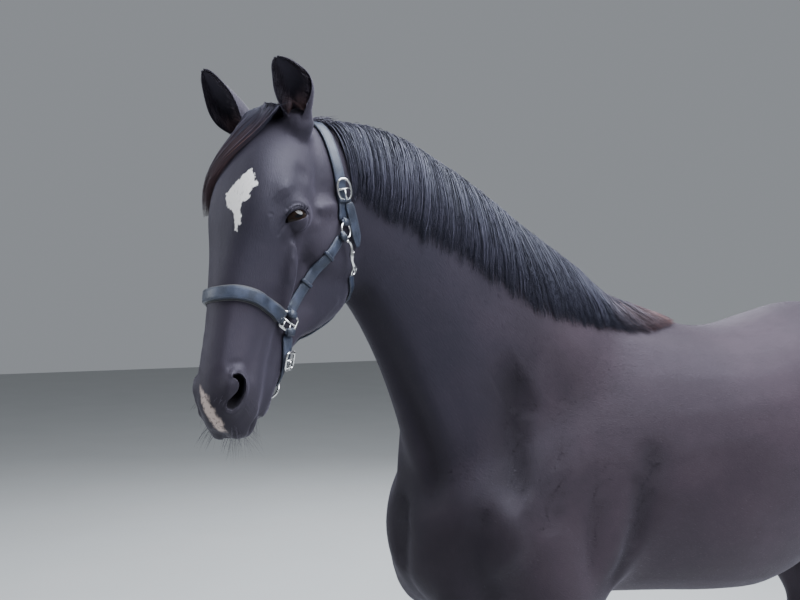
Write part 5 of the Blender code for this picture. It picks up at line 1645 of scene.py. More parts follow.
def laid(path, rise, space=0.0035):
    """A line drawn taut over the hide through the path's places, with the ways outward and across."""
    own = [to_world(p) for p in smooth_rows(path, 60)]
    length = sum((b - a).length for a, b in zip(own, own[1:]))
    count = max(8, int(length / space))
    line = []
    for p in smooth_rows(path, count):
        spot, out = on_skin(to_world(p))
        line.append(spot + out * rise)
    for _ in range(60):
        for k in range(1, count - 1):
            even = line[k].lerp((line[k - 1] + line[k + 1]) / 2, 0.7)
            spot, out = on_skin(even)
            off = (even - spot).dot(out)
            line[k] = even + out * max(rise - off, 0)
    outs = [on_skin(p)[1] for p in line]
    for _ in range(10):
        beside = zip(outs[:1] + outs[:-1], outs, outs[1:] + outs[-1:])
        outs = [(before + here + after).normalized() for before, here, after in beside]
    frames = []
    for k in range(count):
        along = (line[min(k + 1, count - 1)] - line[max(k - 1, 0)]).normalized()
        across = along.cross(outs[k]).normalized()
        frames.append((line[k], along, across, across.cross(along)))
    return frames


def section(width, thick, crown, channel):
    """Half-round edges, a crowned face and a stitched channel near each edge, as pairs across and up."""
    points = []
    for u in np.linspace(-1, 1, 25):
        edge = math.sqrt(max(1 - abs(u) ** 14, 0))
        sunk = channel * math.exp(-(((abs(u) - 0.78) / 0.055) ** 2))
        points.append((u * width / 2, thick * edge * (1 - crown * u * u) - sunk))
    return points + [(u * width / 2, 0.0) for u in np.linspace(0.98, -0.98, 9)]


def strap(name, path, width, thick, rise, crown=0.18, channel=0.0006, tip=False):
    """A strap swept along a path over the hide, and its rings. A tip is rounded off at the far end."""
    frames = laid(path, rise)
    rings = []
    count = len(frames)
    for k, (spot, _, across, out) in enumerate(frames):
        ends = min(k, count - 1 - k)
        slim = (0.55, 0.82, 0.95)[ends] if ends < 3 else 1.0
        if tip:
            left = (count - 1 - k) / 4.0
            slim = min(slim if k < 3 else 1.0, math.sqrt(min(1.0, max(left, 0.05) / 1.6 + 0.05)))
        ring = []
        for u, h in section(width * slim, thick, crown, channel):
            base = spot + across * u
            near, way = on_skin(base)
            drop = (base - near).dot(way) - rise
            ring.append(base - out * min(max(drop, -0.01), 0.006) + out * h * (0.6 + 0.4 * min(ends, 3) / 3))
        rings.append(ring)
    return tube_of(rings, name), rings


def stitches(name, rings):
    """A row of short threads in each channel."""
    body = bmesh.new()
    for column in CHANNELS:
        line = [ring[column] for ring in rings[2:-2]]
        gone, want = 0.0, STITCH
        for k in range(1, len(line) - 1):
            gone += (line[k] - line[k - 1]).length
            if gone < want:
                continue
            want += STITCH
            along = (line[k + 1] - line[k - 1]).normalized()
            middle = (rings[k + 2][12] - (rings[k + 2][28] + rings[k + 2][29]) / 2).normalized()
            side = along.cross(middle)
            turn = Matrix((along, side, middle)).transposed().to_4x4()
            size = Matrix.Diagonal((STITCH * 0.36, 0.00055, 0.00050, 1))
            where = Matrix.Translation(line[k] + middle * 0.0003) @ turn @ size
            bmesh.ops.create_icosphere(body, subdivisions=1, radius=1.0, matrix=where)
    return mesh_object(name, body)


leather = Paint(
    "leather", Specular_IOR_Level=0.6, Specular_Tint=(0.80, 0.87, 1.0), Coat_Weight=0.20,
    Coat_Roughness=0.28,
)
place = leather.place()
to_edge = {"feature": "DISTANCE_TO_EDGE"}
cells = leather.add("ShaderNodeTexVoronoi", to_edge, {"Vector": place, "Scale": 780.0})
crease = leather.noise(leather.stretch(place, (1, 1, 1.6)), 130.0, 5.0, 0.7)
wear = leather.noise(place, 38.0, 4.0)
edge = leather.add("ShaderNodeNewGeometry", out="Pointiness").step(0.515, 0.56)
colour = leather.mix(wear.step(0.35, 0.75), (0.0120, 0.0155, 0.0280), (0.0380, 0.0480, 0.0820))
leather.set({
    "Base Color": leather.mix(edge * 0.5, colour, (0.034, 0.038, 0.052)),
    "Roughness": 0.30 + wear * 0.16 + crease * 0.08,
    "Normal": leather.bump(cells.step(0.0, 0.22) * 0.5 + crease * 0.6, 0.0005, 0.7),
})
thread = Paint("thread", Roughness=0.7)
twist = thread.noise(thread.place(), 600.0)
thread.set({"Base Color": thread.mix(twist, (0.050, 0.056, 0.075), (0.120, 0.130, 0.165))})
lining = Paint("lining", Roughness=0.62, Sheen_Weight=0.2, Sheen_Roughness=0.5)
soft = lining.noise(lining.place(), 900.0, 3.0)
lining.set({
    "Base Color": lining.mix(soft, (0.006, 0.006, 0.008), (0.020, 0.020, 0.026)),
    "Normal": lining.bump(soft, 0.0006),
})

STRAPS = [
    ("noseband", mirrored(NOSEBAND), 0.0250, 0.0046, 0.0042),
    ("chin_strap", mirrored(CHIN_STRAP), 0.0240, 0.0042, STRAP_RISE),
    ("crown_strap", mirrored(CROWN), 0.0250, 0.0042, STRAP_RISE),
    ("throatlatch", THROATLATCH, 0.0180, 0.0040, STRAP_RISE),
    ("jowl_strap", JOWL_STRAP, 0.0180, 0.0040, STRAP_RISE),
    ("billet", BILLET, 0.0215, 0.0034, 0.0075),
    ("cheek_strap_left", CHEEK_STRAP, 0.0225, 0.0042, STRAP_RISE),
    ("cheek_strap_right", [(-x, y, z) for x, y, z in CHEEK_STRAP], 0.0225, 0.0042, STRAP_RISE),
]
for name, path, width, thick, rise in STRAPS:
    piece, rings = strap(name + "_leather", path, width, thick, rise, tip=name == "billet")
    finish(piece, "strap_leather", leather, name)
    finish(stitches(name + "_stitches", rings), "strap_leather", thread)
pad, _ = strap("noseband_lining", mirrored(NOSEBAND), 0.0295, 0.0044, 0.0012, crown=0.5, channel=0.0)
finish(pad, "strap_leather", lining)

# ================================================================ headcollar fittings
# Plated fittings join the straps: two cheek rings, two squares at the noseband, a buckle at the
# crown and at the chin, a ring under the chin and a bolt snap on the throatlatch. Each is bent rod.

steel = Paint("steel", Metallic=1.0)
scuff = steel.noise(steel.place(), 160.0, 4.0)
fine = steel.noise(steel.stretch(steel.place(), (1, 1, 6)), 900.0, 2.0)
steel.set({
    "Base Color": steel.mix(scuff.step(0.55, 0.8) * 0.5, (0.80, 0.80, 0.79), (0.50, 0.49, 0.47)),
    "Roughness": 0.14 + scuff * 0.20,
    "Normal": steel.bump(fine, 0.0002, 0.4),
})


def seat(spot, toward, lift, side=1):
    """The frame of a fitting on the hide: its length toward another place, its breadth and its way out."""
    near, out = on_skin(to_world(spot, side))
    long = to_world(toward, side) - near
    long = (long - out * out.dot(long)).normalized()
    turn = Matrix((long, out.cross(long), out)).transposed().to_4x4()
    return Matrix.Translation(near + out * lift) @ turn


def unit_torus(name, around, across):
    bpy.ops.mesh.primitive_torus_add(
        major_segments=around, minor_segments=across, major_radius=1.0, minor_radius=0.25, location=(0, 0, 0)
    )
    ring = bpy.context.object
    ring.name = name
    return ring


def bent_ring(name, half_long, half_wide, rod, square=1.0):
    """A torus bowed to a superellipse: square of 1 is round, and less is squarer."""
    ring = unit_torus(name, 64, 14)
    for v in ring.data.vertices:
        turn = math.atan2(v.co.y, v.co.x)
        c, s = math.cos(turn), math.sin(turn)
        off = (math.hypot(v.co.x, v.co.y) - 1.0) * 4 * rod
        x = half_long * bowed(c, square)
        y = half_wide * bowed(s, square)
        out = Vector((bowed(c, 2 - square), bowed(s, 2 - square)))
        out = out.normalized() * off
        v.co = Vector((x + out.x, y + out.y, v.co.z * 4 * rod))
    return ring


def bar(name, start, end, rod, sides=16):
    """A round-ended rod between two places."""
    start, end = Vector(start), Vector(end)
    along = end - start
    bpy.ops.mesh.primitive_cylinder_add(vertices=sides, radius=rod, depth=along.length, location=(0, 0, 0))
    piece = bpy.context.object
    piece.name = name
    body = bmesh.new()
    body.from_mesh(piece.data)
    rims = [e for e in body.edges if abs(e.verts[0].co.z - e.verts[1].co.z) < 1e-7]
    bmesh.ops.bevel(body, geom=rims, offset=rod * 0.5, segments=3, affect="EDGES")
    body.to_mesh(piece.data)
    body.free()
    turn = along.to_track_quat("Z", "Y").to_matrix().to_4x4()
    piece.data.transform(Matrix.Translation((start + end) / 2) @ turn)
    return piece


def joined(name, pieces, where=None):
    """The pieces as one object, moved to a place."""
    for piece in bpy.context.selected_objects:
        piece.select_set(False)
    for piece in pieces:
        piece.select_set(True)
    bpy.context.view_layer.objects.active = pieces[0]
    if len(pieces) > 1:
        bpy.ops.object.join()
    whole = bpy.context.view_layer.objects.active
    whole.name = name
    whole.select_set(False)
    if where:
        whole.data.transform(where)
    return whole


def keeper(name, where, width, thick, long=0.007):
    """A leather loop that holds a strap's end down."""
    loop = unit_torus("keeper", 48, 12)
    for v in loop.data.vertices:
        turn = math.atan2(v.co.y, v.co.x)
        c, s = math.cos(turn), math.sin(turn)
        off = (math.hypot(v.co.x, v.co.y) - 1.0) * 4
        y = (width / 2 + 0.0012 + off * 0.0010) * bowed(c, 0.35)
        z = thick / 2 + (thick / 2 + 0.0012 + off * 0.0010) * bowed(s, 0.45)
        v.co = Vector((v.co.z * 4 * long / 2, y, z))
    return joined(name, [loop], where)


for side_name, side in SIDES:
    where = seat(SQUARE, CHEEK_STRAP[1], FITTING_LIFT, side)
    parts = [bent_ring("square", 0.017, 0.017, 0.0025, 0.34)]
    parts.append(bar("bar", (0.0005, -0.016, 0), (0.0005, 0.016, 0), 0.0021))
    for y in (-0.007, 0.007):
        parts.append(bar("bar", (-0.016, y, -0.0002), (0.0005, y, -0.0002), 0.0015))
    finish(joined("square_fitting_" + side_name, parts, where), "fittings", steel, "square_" + side_name)
    where = seat(RING, CROWN[1], FITTING_LIFT, side)
    ring = bent_ring("ring", 0.0155, 0.0155, 0.0024)
    finish(joined("cheek_ring_" + side_name, [ring], where), "fittings", steel, "ring_" + side_name)
    for spot, toward, label in ((CHEEK_STRAP[1], SQUARE, "low"), (CHEEK_STRAP[2], SQUARE, "high")):
        where = seat(spot, toward, STRAP_RISE, side)
        loop = keeper("cheek_keeper_%s_%s" % (label, side_name), where, 0.0225, 0.0044)
        finish(loop, "strap_leather", leather)

# each strap's end is turned back round the rod of its fitting
BEND = 0.0062
BENDS = [
    ("ring_top", RING, CROWN[1], 0.0155, 0.0235),
    ("ring_low", RING, CHEEK_STRAP[2], 0.0155, 0.0215),
    ("square_top", SQUARE, CHEEK_STRAP[1], 0.0170, 0.0215),
    ("square_front", SQUARE, NOSEBAND[1], 0.0170, 0.0240),
    ("square_low", SQUARE, CHIN_STRAP[1], 0.0170, 0.0225),
]
for label, spot, toward, reach, wide in BENDS:
    for side_name, side in SIDES:
        middle = seat(spot, toward, FITTING_LIFT, side) @ Matrix.Translation((reach, 0, 0))
        roll = bar("bend", (0, -wide / 2, 0), (0, wide / 2, 0), BEND, sides=28)
        for v in roll.data.vertices:
            v.co.z *= 0.82
            if v.co.x > 0:
                v.co.x *= 1.6
        finish(joined("bend_%s_%s" % (label, side_name), [roll], middle), "strap_leather", leather)

for name, node, spot, toward, long, wide, square in (
    ("crown", "crown_buckle", CROWN_BUCKLE, CROWN[2], 0.0215, 0.0155, 0.85),
    ("chin", "chin_buckle", CHIN_BUCKLE, CHIN_STRAP[0], 0.0165, 0.0155, 0.45),
):
    where = seat(spot, toward, BUCKLE_LIFT)
    frame_ring = bent_ring("buckle", long, wide, 0.0024, square)
    post = bar("post", (0.001, -wide, 0), (0.001, wide, 0), 0.0017)
    tongue = bar("tongue", (0.001, 0, 0.0012), (-long - 0.0006, 0, 0.0024), 0.0015)
    finish(joined(name + "_buckle_metal", [frame_ring, post, tongue], where), "fittings", steel, node)
where = seat(CROWN[1], CROWN[2], STRAP_RISE) @ Matrix.Translation((-0.022, 0, 0))
finish(keeper("crown_keeper", where, 0.0250, 0.0080, 0.008), "strap_leather", leather)
ring = bent_ring("ring", 0.0160, 0.0160, 0.0024)
where = seat(CHIN_RING, CHIN_STRAP[0], 0.0090)
finish(joined("chin_ring_metal", [ring], where), "fittings", steel, "chin_ring")


def rod_along(name, points, radii, sides=14):
    """A rod through places, as thick at each as told."""
    rings = []
    for k, point in enumerate(points):
        along = (points[min(k + 1, len(points) - 1)] - points[max(k - 1, 0)]).normalized()
        side = along.cross(Vector((0.9, 0.3, 0.2))).normalized()
        up = side.cross(along)
        rings.append([
            point + (side * math.cos(math.tau * j / sides) + up * math.sin(math.tau * j / sides)) * radii[k]
            for j in range(sides)
        ])
    return tube_of(rings, name)


snap_line = laid(SNAP, 0.0125, 0.0016)
spots = [f[0] for f in snap_line]
count = len(spots)
share = np.linspace(0, 1, count)
radii = 0.0031 + 0.0020 * np.exp(-(((share - 0.52) / 0.10) ** 2))
radii = radii + 0.0011 * np.exp(-(((share - 0.80) / 0.05) ** 2))
radii = radii * np.minimum(1, 0.45 + np.minimum(share, 1 - share) * 14)
hook = rod_along("hook", spots, [float(r) for r in radii])
eye_ring = bent_ring("eye", 0.0085, 0.0100, 0.0019)
eye_ring.data.transform(seat(SNAP[-1], SNAP[-2], BUCKLE_LIFT))
stem, upward = spots[int(count * 0.45)], snap_line[count // 2][3]
bolt = bar("bolt", stem + upward * 0.002, stem + upward * 0.0065, 0.0017)
finish(joined("snap_metal", [hook, eye_ring, bolt]), "fittings", steel, "snap")

# ================================================================ coat
# The summer coat is short, sleek hair that lies flat: back and down over the body, down the legs,
# and down the face to the muzzle. Each tuft is a thin closed blade rooted in the skin. The coat is
# longest on the trunk, shorter on the legs and under the jaw, and shortest on the face.

TUFT_PATCH = 0.003  # of the unwrap, that one tuft takes
LEG_TOP = 0.86  # where the coat of the legs ends
ROOT_SUNK = 0.00022  # how deep a tuft's corners are rooted


def comb(place, out):
    """The way the hair lies at places on the skin, where the model stands."""
    own = head_points(place - MOVED_BY)
    turn = np.array(head_matrix())[:3, :3] / HEAD_SCALE
    on_head = head_share(place - MOVED_BY)[:, None]
    face = unit(np.stack([0.35 * own[:, 0] / 0.08, 0.30 + 0 * own[:, 0], -1 + 0 * own[:, 0]], 1)) @ turn.T
    low = (1 - ramp(place[:, 2], 0.80, 1.00))[:, None]
    neck = (ramp(-place[:, 1], 0.20, 0.50) * ramp(place[:, 2], 1.0, 1.4))[:, None]
    chest = (ramp(-place[:, 1], 0.30, 0.60) * (1 - ramp(place[:, 2], 1.1, 1.35)))[:, None]
    side = np.sign(place[:, :1])
    body = np.array([[0, 0.93, -0.35]]) * (1 - neck) + np.array([[0, 0.62, -0.78]]) * neck
    across = np.concatenate([side * 0.5, 0 * side + 0.2, 0 * side - 0.85], 1)
    body = body * (1 - 0.7 * chest) + 0.7 * chest * across
    body = body * (1 - low) + np.array([[0, 0.10, -1.0]]) * low
    way = body * (1 - on_head) + face * on_head
    for side_name in ("left", "right"):
        root, tip, *_ = ear_frame(side_name)
        up_ear = np.array((tip - root).normalized())
        height, gap = along_ear(own, side_name)
        near = np.exp(-(gap / 0.05**2)) * ramp(height, -0.006, 0.020)
        way = way * (1 - near[:, None]) + (up_ear @ turn.T)[None, :] * near[:, None]
    way = way - out * (way * out).sum(1)[:, None]
    return unit(way)


def bare(own):
    """Whether places in the head's own axes lie in an eye, a nostril, the lips' edge or up an ear."""
    found = np.zeros(len(own), bool)
    for side in (1, -1):
        _, far, m, v, _ = polar(own, side)
        found |= (far < 0.029) & (abs(m) < 0.026) & (v < 0.017) & (v > -0.013)
        s, up, deep = by_nostril(own, side)
        found |= (((s - 0.003) / 0.019) ** 2 + (up / 0.036) ** 2 < 1) & (deep > -0.06) & (deep < 0.02)
    for side_name in ("left", "right"):
        height, gap = along_ear(own, side_name)
        found |= (height > 0.022) & (gap < 0.06**2)
    return found


skin.data.calc_loop_triangles()
pieces = skin.data.loop_triangles
corner = np.empty(len(pieces) * 3, np.int64)
pieces.foreach_get("vertices", corner)
corner = corner.reshape(-1, 3)
skin_spots = points_of(skin.data)
skin_outs = points_of(skin.data, "normal")
owner = np.empty(len(pieces), np.int64)
pieces.foreach_get("polygon_index", owner)
polygon_outs = np.zeros((len(skin.data.polygons), 3))
np.add.at(polygon_outs, owner, skin_outs[corner].sum(1))
polygon_outs = unit(polygon_outs)
faces = skin_spots[corner]
face_area = np.linalg.norm(np.cross(faces[:, 1] - faces[:, 0], faces[:, 2] - faces[:, 0]), axis=1) / 2
face_middle = faces.mean(1)


def map_of(spot, own, on_head, low):
    """A place's own spot on the unwrap, whose rolls lie side by side."""
    u = np.zeros(len(spot))
    v = np.zeros(len(spot))
    head = on_head
    u[head] = (np.arctan2(own[head, 0], -(own[head, 1] - 0.10)) / math.tau + 0.5) * 0.96 + 0.02
    v[head] = np.clip((own[head, 2] + 0.66) / 0.84, 0, 1) * 0.30 + 0.69
    leg = low & ~head
    hind, right = spot[:, 1] > 0.1, spot[:, 0] < 0
    middle_y = np.where(hind, 0.74, -0.54)
    middle_x = np.where(right, -0.14, 0.14)
    turn = np.arctan2(spot[:, 0] - middle_x, -(spot[:, 1] - middle_y)) / math.tau + 0.5
    u[leg] = (turn[leg] * 0.22 + 0.015) + 0.25 * (hind[leg] * 2 + right[leg])
    v[leg] = spot[leg, 2] / LEG_TOP * 0.28 + 0.01
    rest = ~head & ~low
    turn = np.arctan2(spot[:, 0], spot[:, 2] - 1.22 - 0.5 * np.maximum(-spot[:, 1] - 0.3, 0)) / math.tau + 0.5
    u[rest] = turn[rest] * 0.96 + 0.02
    v[rest] = np.clip((spot[rest, 1] + 1.35) / 2.3, 0, 1) * 0.36 + 0.31
    return np.stack([u, v], 1)


def tufts(name, chosen, count, long, wide, rise, lift=0.00012, spread=9):
    """Closed blades of four faces, rooted by area over the chosen faces and combed with the coat."""
    picked = np.nonzero(chosen)[0]
    odds = face_area[picked]
    face = picked[RANDOM.choice(len(picked), count, p=odds / odds.sum())]
    a, b = RANDOM.random(count), RANDOM.random(count)
    flip = a + b > 1
    a, b = np.where(flip, 1 - a, a), np.where(flip, 1 - b, b)
    share = np.stack([1 - a - b, a, b], 1)[:, :, None]
    spot = (skin_spots[corner[face]] * share).sum(1)
    out = unit((skin_outs[corner[face]] * share).sum(1))
    own = head_points(spot - MOVED_BY)
    use = ~bare(own)
    spot, out, own, face = spot[use], out[use], own[use], face[use]
    count = len(spot)
    way = comb(spot, out)
    side = np.cross(way, out)
    drift = np.radians(RANDOM.normal(0, spread, count))[:, None]
    way, side = way * np.cos(drift) + side * np.sin(drift), side * np.cos(drift) - way * np.sin(drift)
    tuft_painted_shade = painted_shade_share(spot - MOVED_BY)
    longs = (long(spot, own) if callable(long) else long) * RANDOM.uniform(0.75, 1.2, count)
    longs = longs * (1 - 0.45 * tuft_painted_shade)
    wides = wide * RANDOM.uniform(0.7, 1.25, count)
    rises = rise * RANDOM.uniform(0.7, 1.3, count)
    roll = RANDOM.normal(0, 0.10, count)[:, None]
    half = side * wides[:, None] / 2
    sunk = out * ROOT_SUNK
    tip, tip_out = spot + way * longs[:, None], out.copy()
    for k in range(count):
        near, _, found, _ = hide_tree.find_nearest(tip[k])
        tip[k], tip_out[k] = near, polygon_outs[found]
    rows = np.stack([
        spot - half - sunk + out * roll * wides[:, None] * 0.25,
        spot + half - sunk - out * roll * wides[:, None] * 0.25,
        spot - out * 0.0011 + way * longs[:, None] * 0.2,
        tip + tip_out * (longs * rises + lift)[:, None],
    ], 1)
    index = np.arange(count * 4).reshape(count, 4)
    tris = index[:, [[0, 1, 3], [1, 2, 3], [2, 0, 3], [0, 2, 1]]].reshape(-1, 3)
    flipped = np.einsum("ij,ij->i", np.cross(rows[:, 1] - rows[:, 0], rows[:, 3] - rows[:, 0]), out) < 0
    tris[np.repeat(flipped, 4)] = tris[np.repeat(flipped, 4)][:, ::-1]
    thing = net(name, rows.reshape(-1, 3), tris=tris)
    on_head, low = head_share(spot - MOVED_BY) > 0.5, spot[:, 2] < LEG_TOP
    root = map_of(spot - MOVED_BY, own, on_head, low)
    patch = np.array([[-0.5, -0.5], [0.5, -0.5], [0.0, 0.1], [0.0, 0.5]]) * TUFT_PATCH
    places = (root[:, None, :] + patch[None, :, :]).reshape(-1, 2)[tris.ravel()]
    thing.data.uv_layers.new(name="OFBake").data.foreach_set("uv", np.clip(places, 0, 1).ravel())
    keep(thing, "tone", np.repeat(RANDOM.random(count), 4))
    # the painted shade of the hollows and the throat, for the coat's colour
    keep(thing, "hollow", np.repeat(tuft_painted_shade, 4))
    # each blade is lit as the coat about it is, give or take the way it lies
    tilt = way * RANDOM.normal(0.03, 0.07, (count, 1)) + side * RANDOM.normal(0, 0.07, (count, 1))
    lit = unit(np.stack([out, out, (out + tip_out) / 2, tip_out], 1) + tilt[:, None, :]).reshape(-1, 3)
    shade_smooth(thing)
    thing.data.normals_split_custom_set_from_vertices(lit.tolist())
    return thing


coat = Paint("coat", **SLEEK)
tone, _ = hide_colour(coat)
# each blade's tone varies at random, and on the whole the blades are painted up to a quarter lighter than the
# hide: painted light against the shade that falls on them
shade = coat.attribute("tone")
coat.set({
    "Base Color": coat.mix(1.0, tone, coat.mix(shade, (0.95, 0.95, 0.97), (1.25, 1.23, 1.22)), "MULTIPLY"),
    "Roughness": 0.50 + shade * 0.12,
    "Normal": coat.bump(coat.noise(coat.place(), 900.0, 2.0), 0.0003, 0.4),
})

middle = face_middle - MOVED_BY
of_head = head_share(middle) > 0.5
of_legs = (middle[:, 2] < LEG_TOP) & ~of_head
of_neck = ~of_head & ~of_legs & (middle[:, 1] < -0.52)
of_trunk = ~of_head & ~of_legs & ~of_neck
of_front = of_trunk & (middle[:, 1] < 0.12)


def head_long(spot, own):
    """Short on the muzzle, longer on the cheek and under the jaw."""
    return 0.0048 + 0.0030 * ramp(own[:, 1], 0.10, 0.28) + 0.0022 * ramp(own[:, 2], -0.45, -0.15)


def leg_long(spot, own):
    """Shortest below the knee and hock, and longer over the coronets."""
    low = spot - MOVED_BY
    return 0.0085 - 0.0025 * (1 - ramp(low[:, 2], 0.3, 0.6)) + 0.004 * (1 - ramp(low[:, 2], 0.10, 0.13))


COATS = [
    ("coat_head", of_head, 35000, head_long, 0.0014, 0.012),
    ("coat_neck", of_neck, 35000, 0.012, 0.0021, 0.010),
    ("coat_shoulder", of_front, 36000, 0.013, 0.0023, 0.009),
    ("coat_quarters", of_trunk & ~of_front, 38000, 0.013, 0.0023, 0.009),
    ("coat_legs", of_legs, 34000, leg_long, 0.0018, 0.012),
]
for name, chosen, count, long, wide, rise in COATS:
    finish(tufts(name, chosen, count, long, wide, rise), "coat", coat)

# ================================================================ ear hair, lashes, whiskers and feather
# Finer hair of its own kind: soft hair that fills the ears, lashes on the upper lids, stiff whiskers
# on the muzzle and below the eyes, and longer hair behind the fetlocks and over the coronets.


def grow(name, rows, wide, steps=6, tone=0.35):
    """A piece of fine hairs. A row says where one starts, its way, its sag, its length and its bleach."""
    starts, ways, sags = (np.array([tuple(row[k]) for row in rows], float) for k in range(3))
    longs, bleach = (np.array([row[k] for row in rows], float) for k in (3, 4))
    count = len(rows)
    ways = unit(ways)
    s = np.linspace(0, 1, steps)[None, :, None]
    lines = starts[:, None, :] + (ways[:, None, :] * s + sags[:, None, :] * s * s) * longs[:, None, None]
    outs = np.cross(np.cross(ways, np.array([[0.31, 0.52, 0.79]])), ways)
    outs = np.broadcast_to(unit(outs)[:, None, :], lines.shape)
    widths = RANDOM.uniform(0.8, 1.2, count)[:, None] * wide * taper(steps, root=0.9, tip=0.15)[None, :]
    tones = np.clip(RANDOM.normal(tone, 0.18, count), 0, 1)
    piece = hairs(name, lines, outs, widths, tones, np.broadcast_to(bleach[:, None], (count, steps)))
    finish(piece, "hair", hair_paint)


turn_only = head_matrix().to_quaternion().to_matrix()
for side in ("left", "right"):
    root, tip, opens, across, _ = ear_frame(side)
    along = (tip - root).normalized()
    grown = []
    rows = smooth_rows([(r[0], 0, 0, *r[1:]) for r in EAR], 60)
    for _ in range(1000):
        row = rows[int(np.interp(RANDOM.random() ** 1.3, [0, 1], [14, 57]))]
        edge = RANDOM.choice([-1, 1]) * RANDOM.uniform(0.45, 0.94)
        spot = ear_point(side, row, edge, True)
        spot = spot - (ear_point(side, row, 0, False) - spot).normalized() * -0.0006
        inward = -across * math.copysign(1, edge)
        high = min(max(row[0], 0), 1)
        way = opens * RANDOM.uniform(0.1, 0.45) + inward * RANDOM.uniform(0.3, 0.9)
        way = way + along * RANDOM.uniform(0.8, 1.4)
        sag = inward * 0.25 + along * 0.3
        long = (0.022 - 0.015 * high) * RANDOM.uniform(0.7, 1.2)
        pale = max(0.0, 1 - high / 0.30) * RANDOM.uniform(0.2, 1.0) + 0.12
        grown.append((to_world(spot), turn_only @ way, turn_only @ sag, long, pale))
    grow("ear_hair_" + side, grown, 0.0007)

# a short tuft stands up from the start of the mane, behind the left ear
grown = []
for _ in range(420):
    spot = Vector((RANDOM.uniform(0.004, 0.046), RANDOM.uniform(0.082, 0.118), 0.060))
    near, out = on_skin(to_world(spot))
    way = out + turn_only @ Vector((0.10, 0.55, 0.30)) + Vector(RANDOM.normal(0, 0.10, 3))
    sag = turn_only @ Vector((0.25, 0.55, -0.55)) + Vector(RANDOM.normal(0, 0.08, 3))
    grown.append((near - out * 0.002, way, sag, RANDOM.uniform(0.030, 0.050), 0.05))
grow("poll_tuft", grown, 0.0020, steps=9, tone=0.5)

for name, side in SIDES:
    flip = FLIPS[side]
    grown = []
    for _ in range(74):
        a = math.radians(RANDOM.uniform(18, 168))
        wide, up, _ = EYE_OPEN
        m, v = wide * 1.02 * math.cos(a), (up + 0.0022) * math.sin(a)
        n = math.sqrt((EYE_RADIUS + LID * 0.75) ** 2 - m * m - v * v)
        way = GAZE * 1.0 + LIFT * RANDOM.uniform(0.15, 0.45) + SLIT * (m / wide) * 0.35
        sag = LIFT * RANDOM.uniform(-0.1, 0.35) + SLIT * 0.1
        start, long = to_world(by_eye(m, v, n), side), RANDOM.uniform(0.009, 0.015)
        grown.append((start, turn_only @ (way * flip), turn_only @ (sag * flip), long, 0.0))
    grow("lashes_" + name, grown, 0.00055, tone=0.1)

# distance left, back and up in the head's own axes, spread, how many, length
WHISKERS = [
    ((0.030, 0.060, -0.605), 0.018, 34, 0.030), ((0.0, 0.090, -0.612), 0.026, 40, 0.034),
    ((0.0, 0.130, -0.590), 0.026, 44, 0.040), ((0.052, 0.070, -0.560), 0.014, 16, 0.026),
    ((0.036, 0.016, -0.560), 0.014, 8, 0.018), ((0.096, 0.085, -0.232), 0.008, 7, 0.032),
]
grown = []
for centre, spread, many, long in WHISKERS:
    for side in (1, -1):
        for _ in range(many // 2):
            spot = Vector(centre) + Vector(RANDOM.normal(0, spread / 2, 3))
            near, out = on_skin(to_world(spot, side))
            way = out * 1.0 + Vector((0, 0, -0.35)) + Vector(RANDOM.normal(0, 0.15, 3))
            reach = long * RANDOM.uniform(0.6, 1.2)
            grown.append((near - out * 0.0008, way, Vector((0, 0, -0.30)), reach, 0.1))
grow("whiskers", grown, 0.00042, tone=0.15)

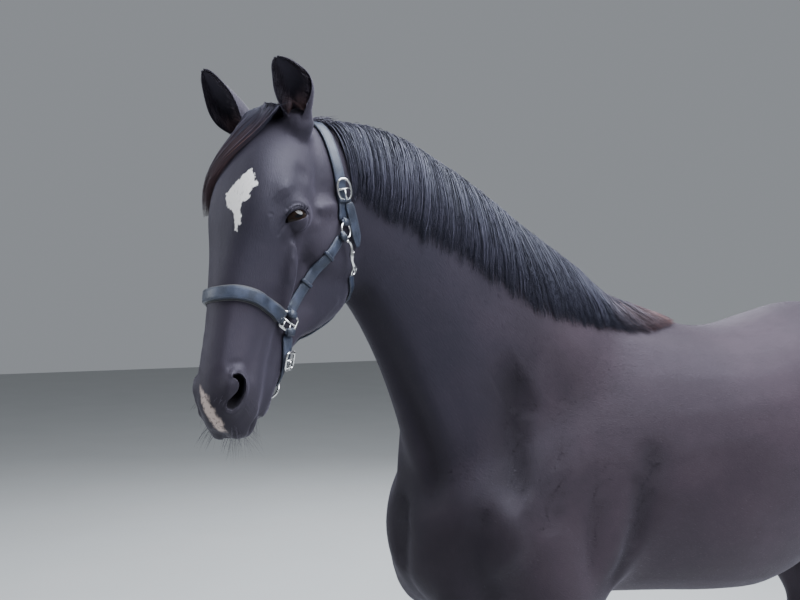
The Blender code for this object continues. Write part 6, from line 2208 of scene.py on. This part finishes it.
FEATHER_HAIRS = 900  # on each foot, with those of the coronet
CORONET_HAIRS = 520
for name in STRIDES:
    x, y = foot_of(name)
    grown = []
    for k in range(FEATHER_HAIRS):
        fringe = k < CORONET_HAIRS
        around = RANDOM.uniform(0, math.tau) if fringe else math.radians(RANDOM.normal(90, 32))
        back, left = math.sin(around), math.cos(around)
        if fringe:
            high = CORONET_HEIGHT - CORONET_DROP * back * 0.052 + RANDOM.uniform(0.001, 0.010)
        else:
            high = RANDOM.uniform(0.175, 0.250)
        slope = HOOF_SLOPE * (high - CORONET_HEIGHT) * (1 if fringe else 0.35)
        aim = Vector((x + left * 0.10, y + back * 0.10 + slope, high)) + MOVED
        middle = Vector((x, y + slope, high)) + MOVED
        spot, out, _, _ = hide_tree.ray_cast(aim, (middle - aim).normalized(), 0.12)
        if spot is None:
            continue
        if fringe:
            way = out * 0.30 + Vector((0, -0.42, -1.0)) + Vector(RANDOM.normal(0, 0.07, 3))
            sag, long = Vector((0, 0, -0.1)), RANDOM.uniform(0.011, 0.019)
        else:
            way = out * 0.22 + Vector((0, 0.10, -1.0)) + Vector(RANDOM.normal(0, 0.10, 3))
            sag, long = Vector((-left * 0.2, 0.12, -0.2)), RANDOM.uniform(0.018, 0.036)
        grown.append((spot - out * 0.001, way, sag, long, 0.06))
    grow("feather_" + name, grown, 0.0013, tone=0.3)

# ================================================================ stage
# A plain floor, soft daylight from above and the sides, and a camera at the horse's shoulder.

bpy.ops.mesh.primitive_plane_add(size=40, location=(0, 0, 0))
floor = bpy.context.object
floor.name = "floor"
stone = Paint("floor", Roughness=0.85)
stone.set({"Base Color": stone.mix(stone.noise(stone.place(), 1.5), (0.40, 0.41, 0.41), (0.44, 0.45, 0.45))})
stone.dress(floor)
world = bpy.data.worlds.new("studio")
bpy.context.scene.world = world
world.use_nodes = True
backdrop = world.node_tree.nodes["Background"]
backdrop.inputs["Color"].default_value = (0.88, 0.93, 1.0, 1)
backdrop.inputs["Strength"].default_value = 0.30
AIM = Vector((0, -0.3, 1.2)) + MOVED
LAMPS = [  # name, place, size, power
    ("sky", (1.6, 1.0, 5.6), 5.0, 900), ("window", (5.4, 0.6, 3.8), 4.0, 190),
    ("back", (-4.0, 2.0, 4.2), 4.0, 220), ("front", (-2.6, -5.0, 3.4), 3.0, 150),
]
for name, place, size, power in LAMPS:
    lamp = bpy.data.lights.new(name, "AREA")
    lamp.energy, lamp.size, lamp.shape, lamp.color = power, size, "DISK", (0.90, 0.94, 1.0)
    thing = bpy.data.objects.new(name, lamp)
    thing.visible_glossy = name != "window"
    bpy.context.scene.collection.objects.link(thing)
    thing.location = place
    thing.rotation_euler = (AIM - Vector(place)).to_track_quat("-Z", "Y").to_euler()
view = bpy.data.objects.new("camera", bpy.data.cameras.new("camera"))
bpy.context.scene.collection.objects.link(view)
az = math.radians(61)
back = Vector((math.sin(az), -math.cos(az), 0))
right = Vector((math.cos(az), math.sin(az), 0))
view.location = back * 2.5 + right * -0.745 + Vector((0, 0, 1.63)) + MOVED
view.rotation_euler = (-back).to_track_quat("-Z", "Y").to_euler()
view.data.lens = 915 / 800 * 36
bpy.context.scene.camera = view
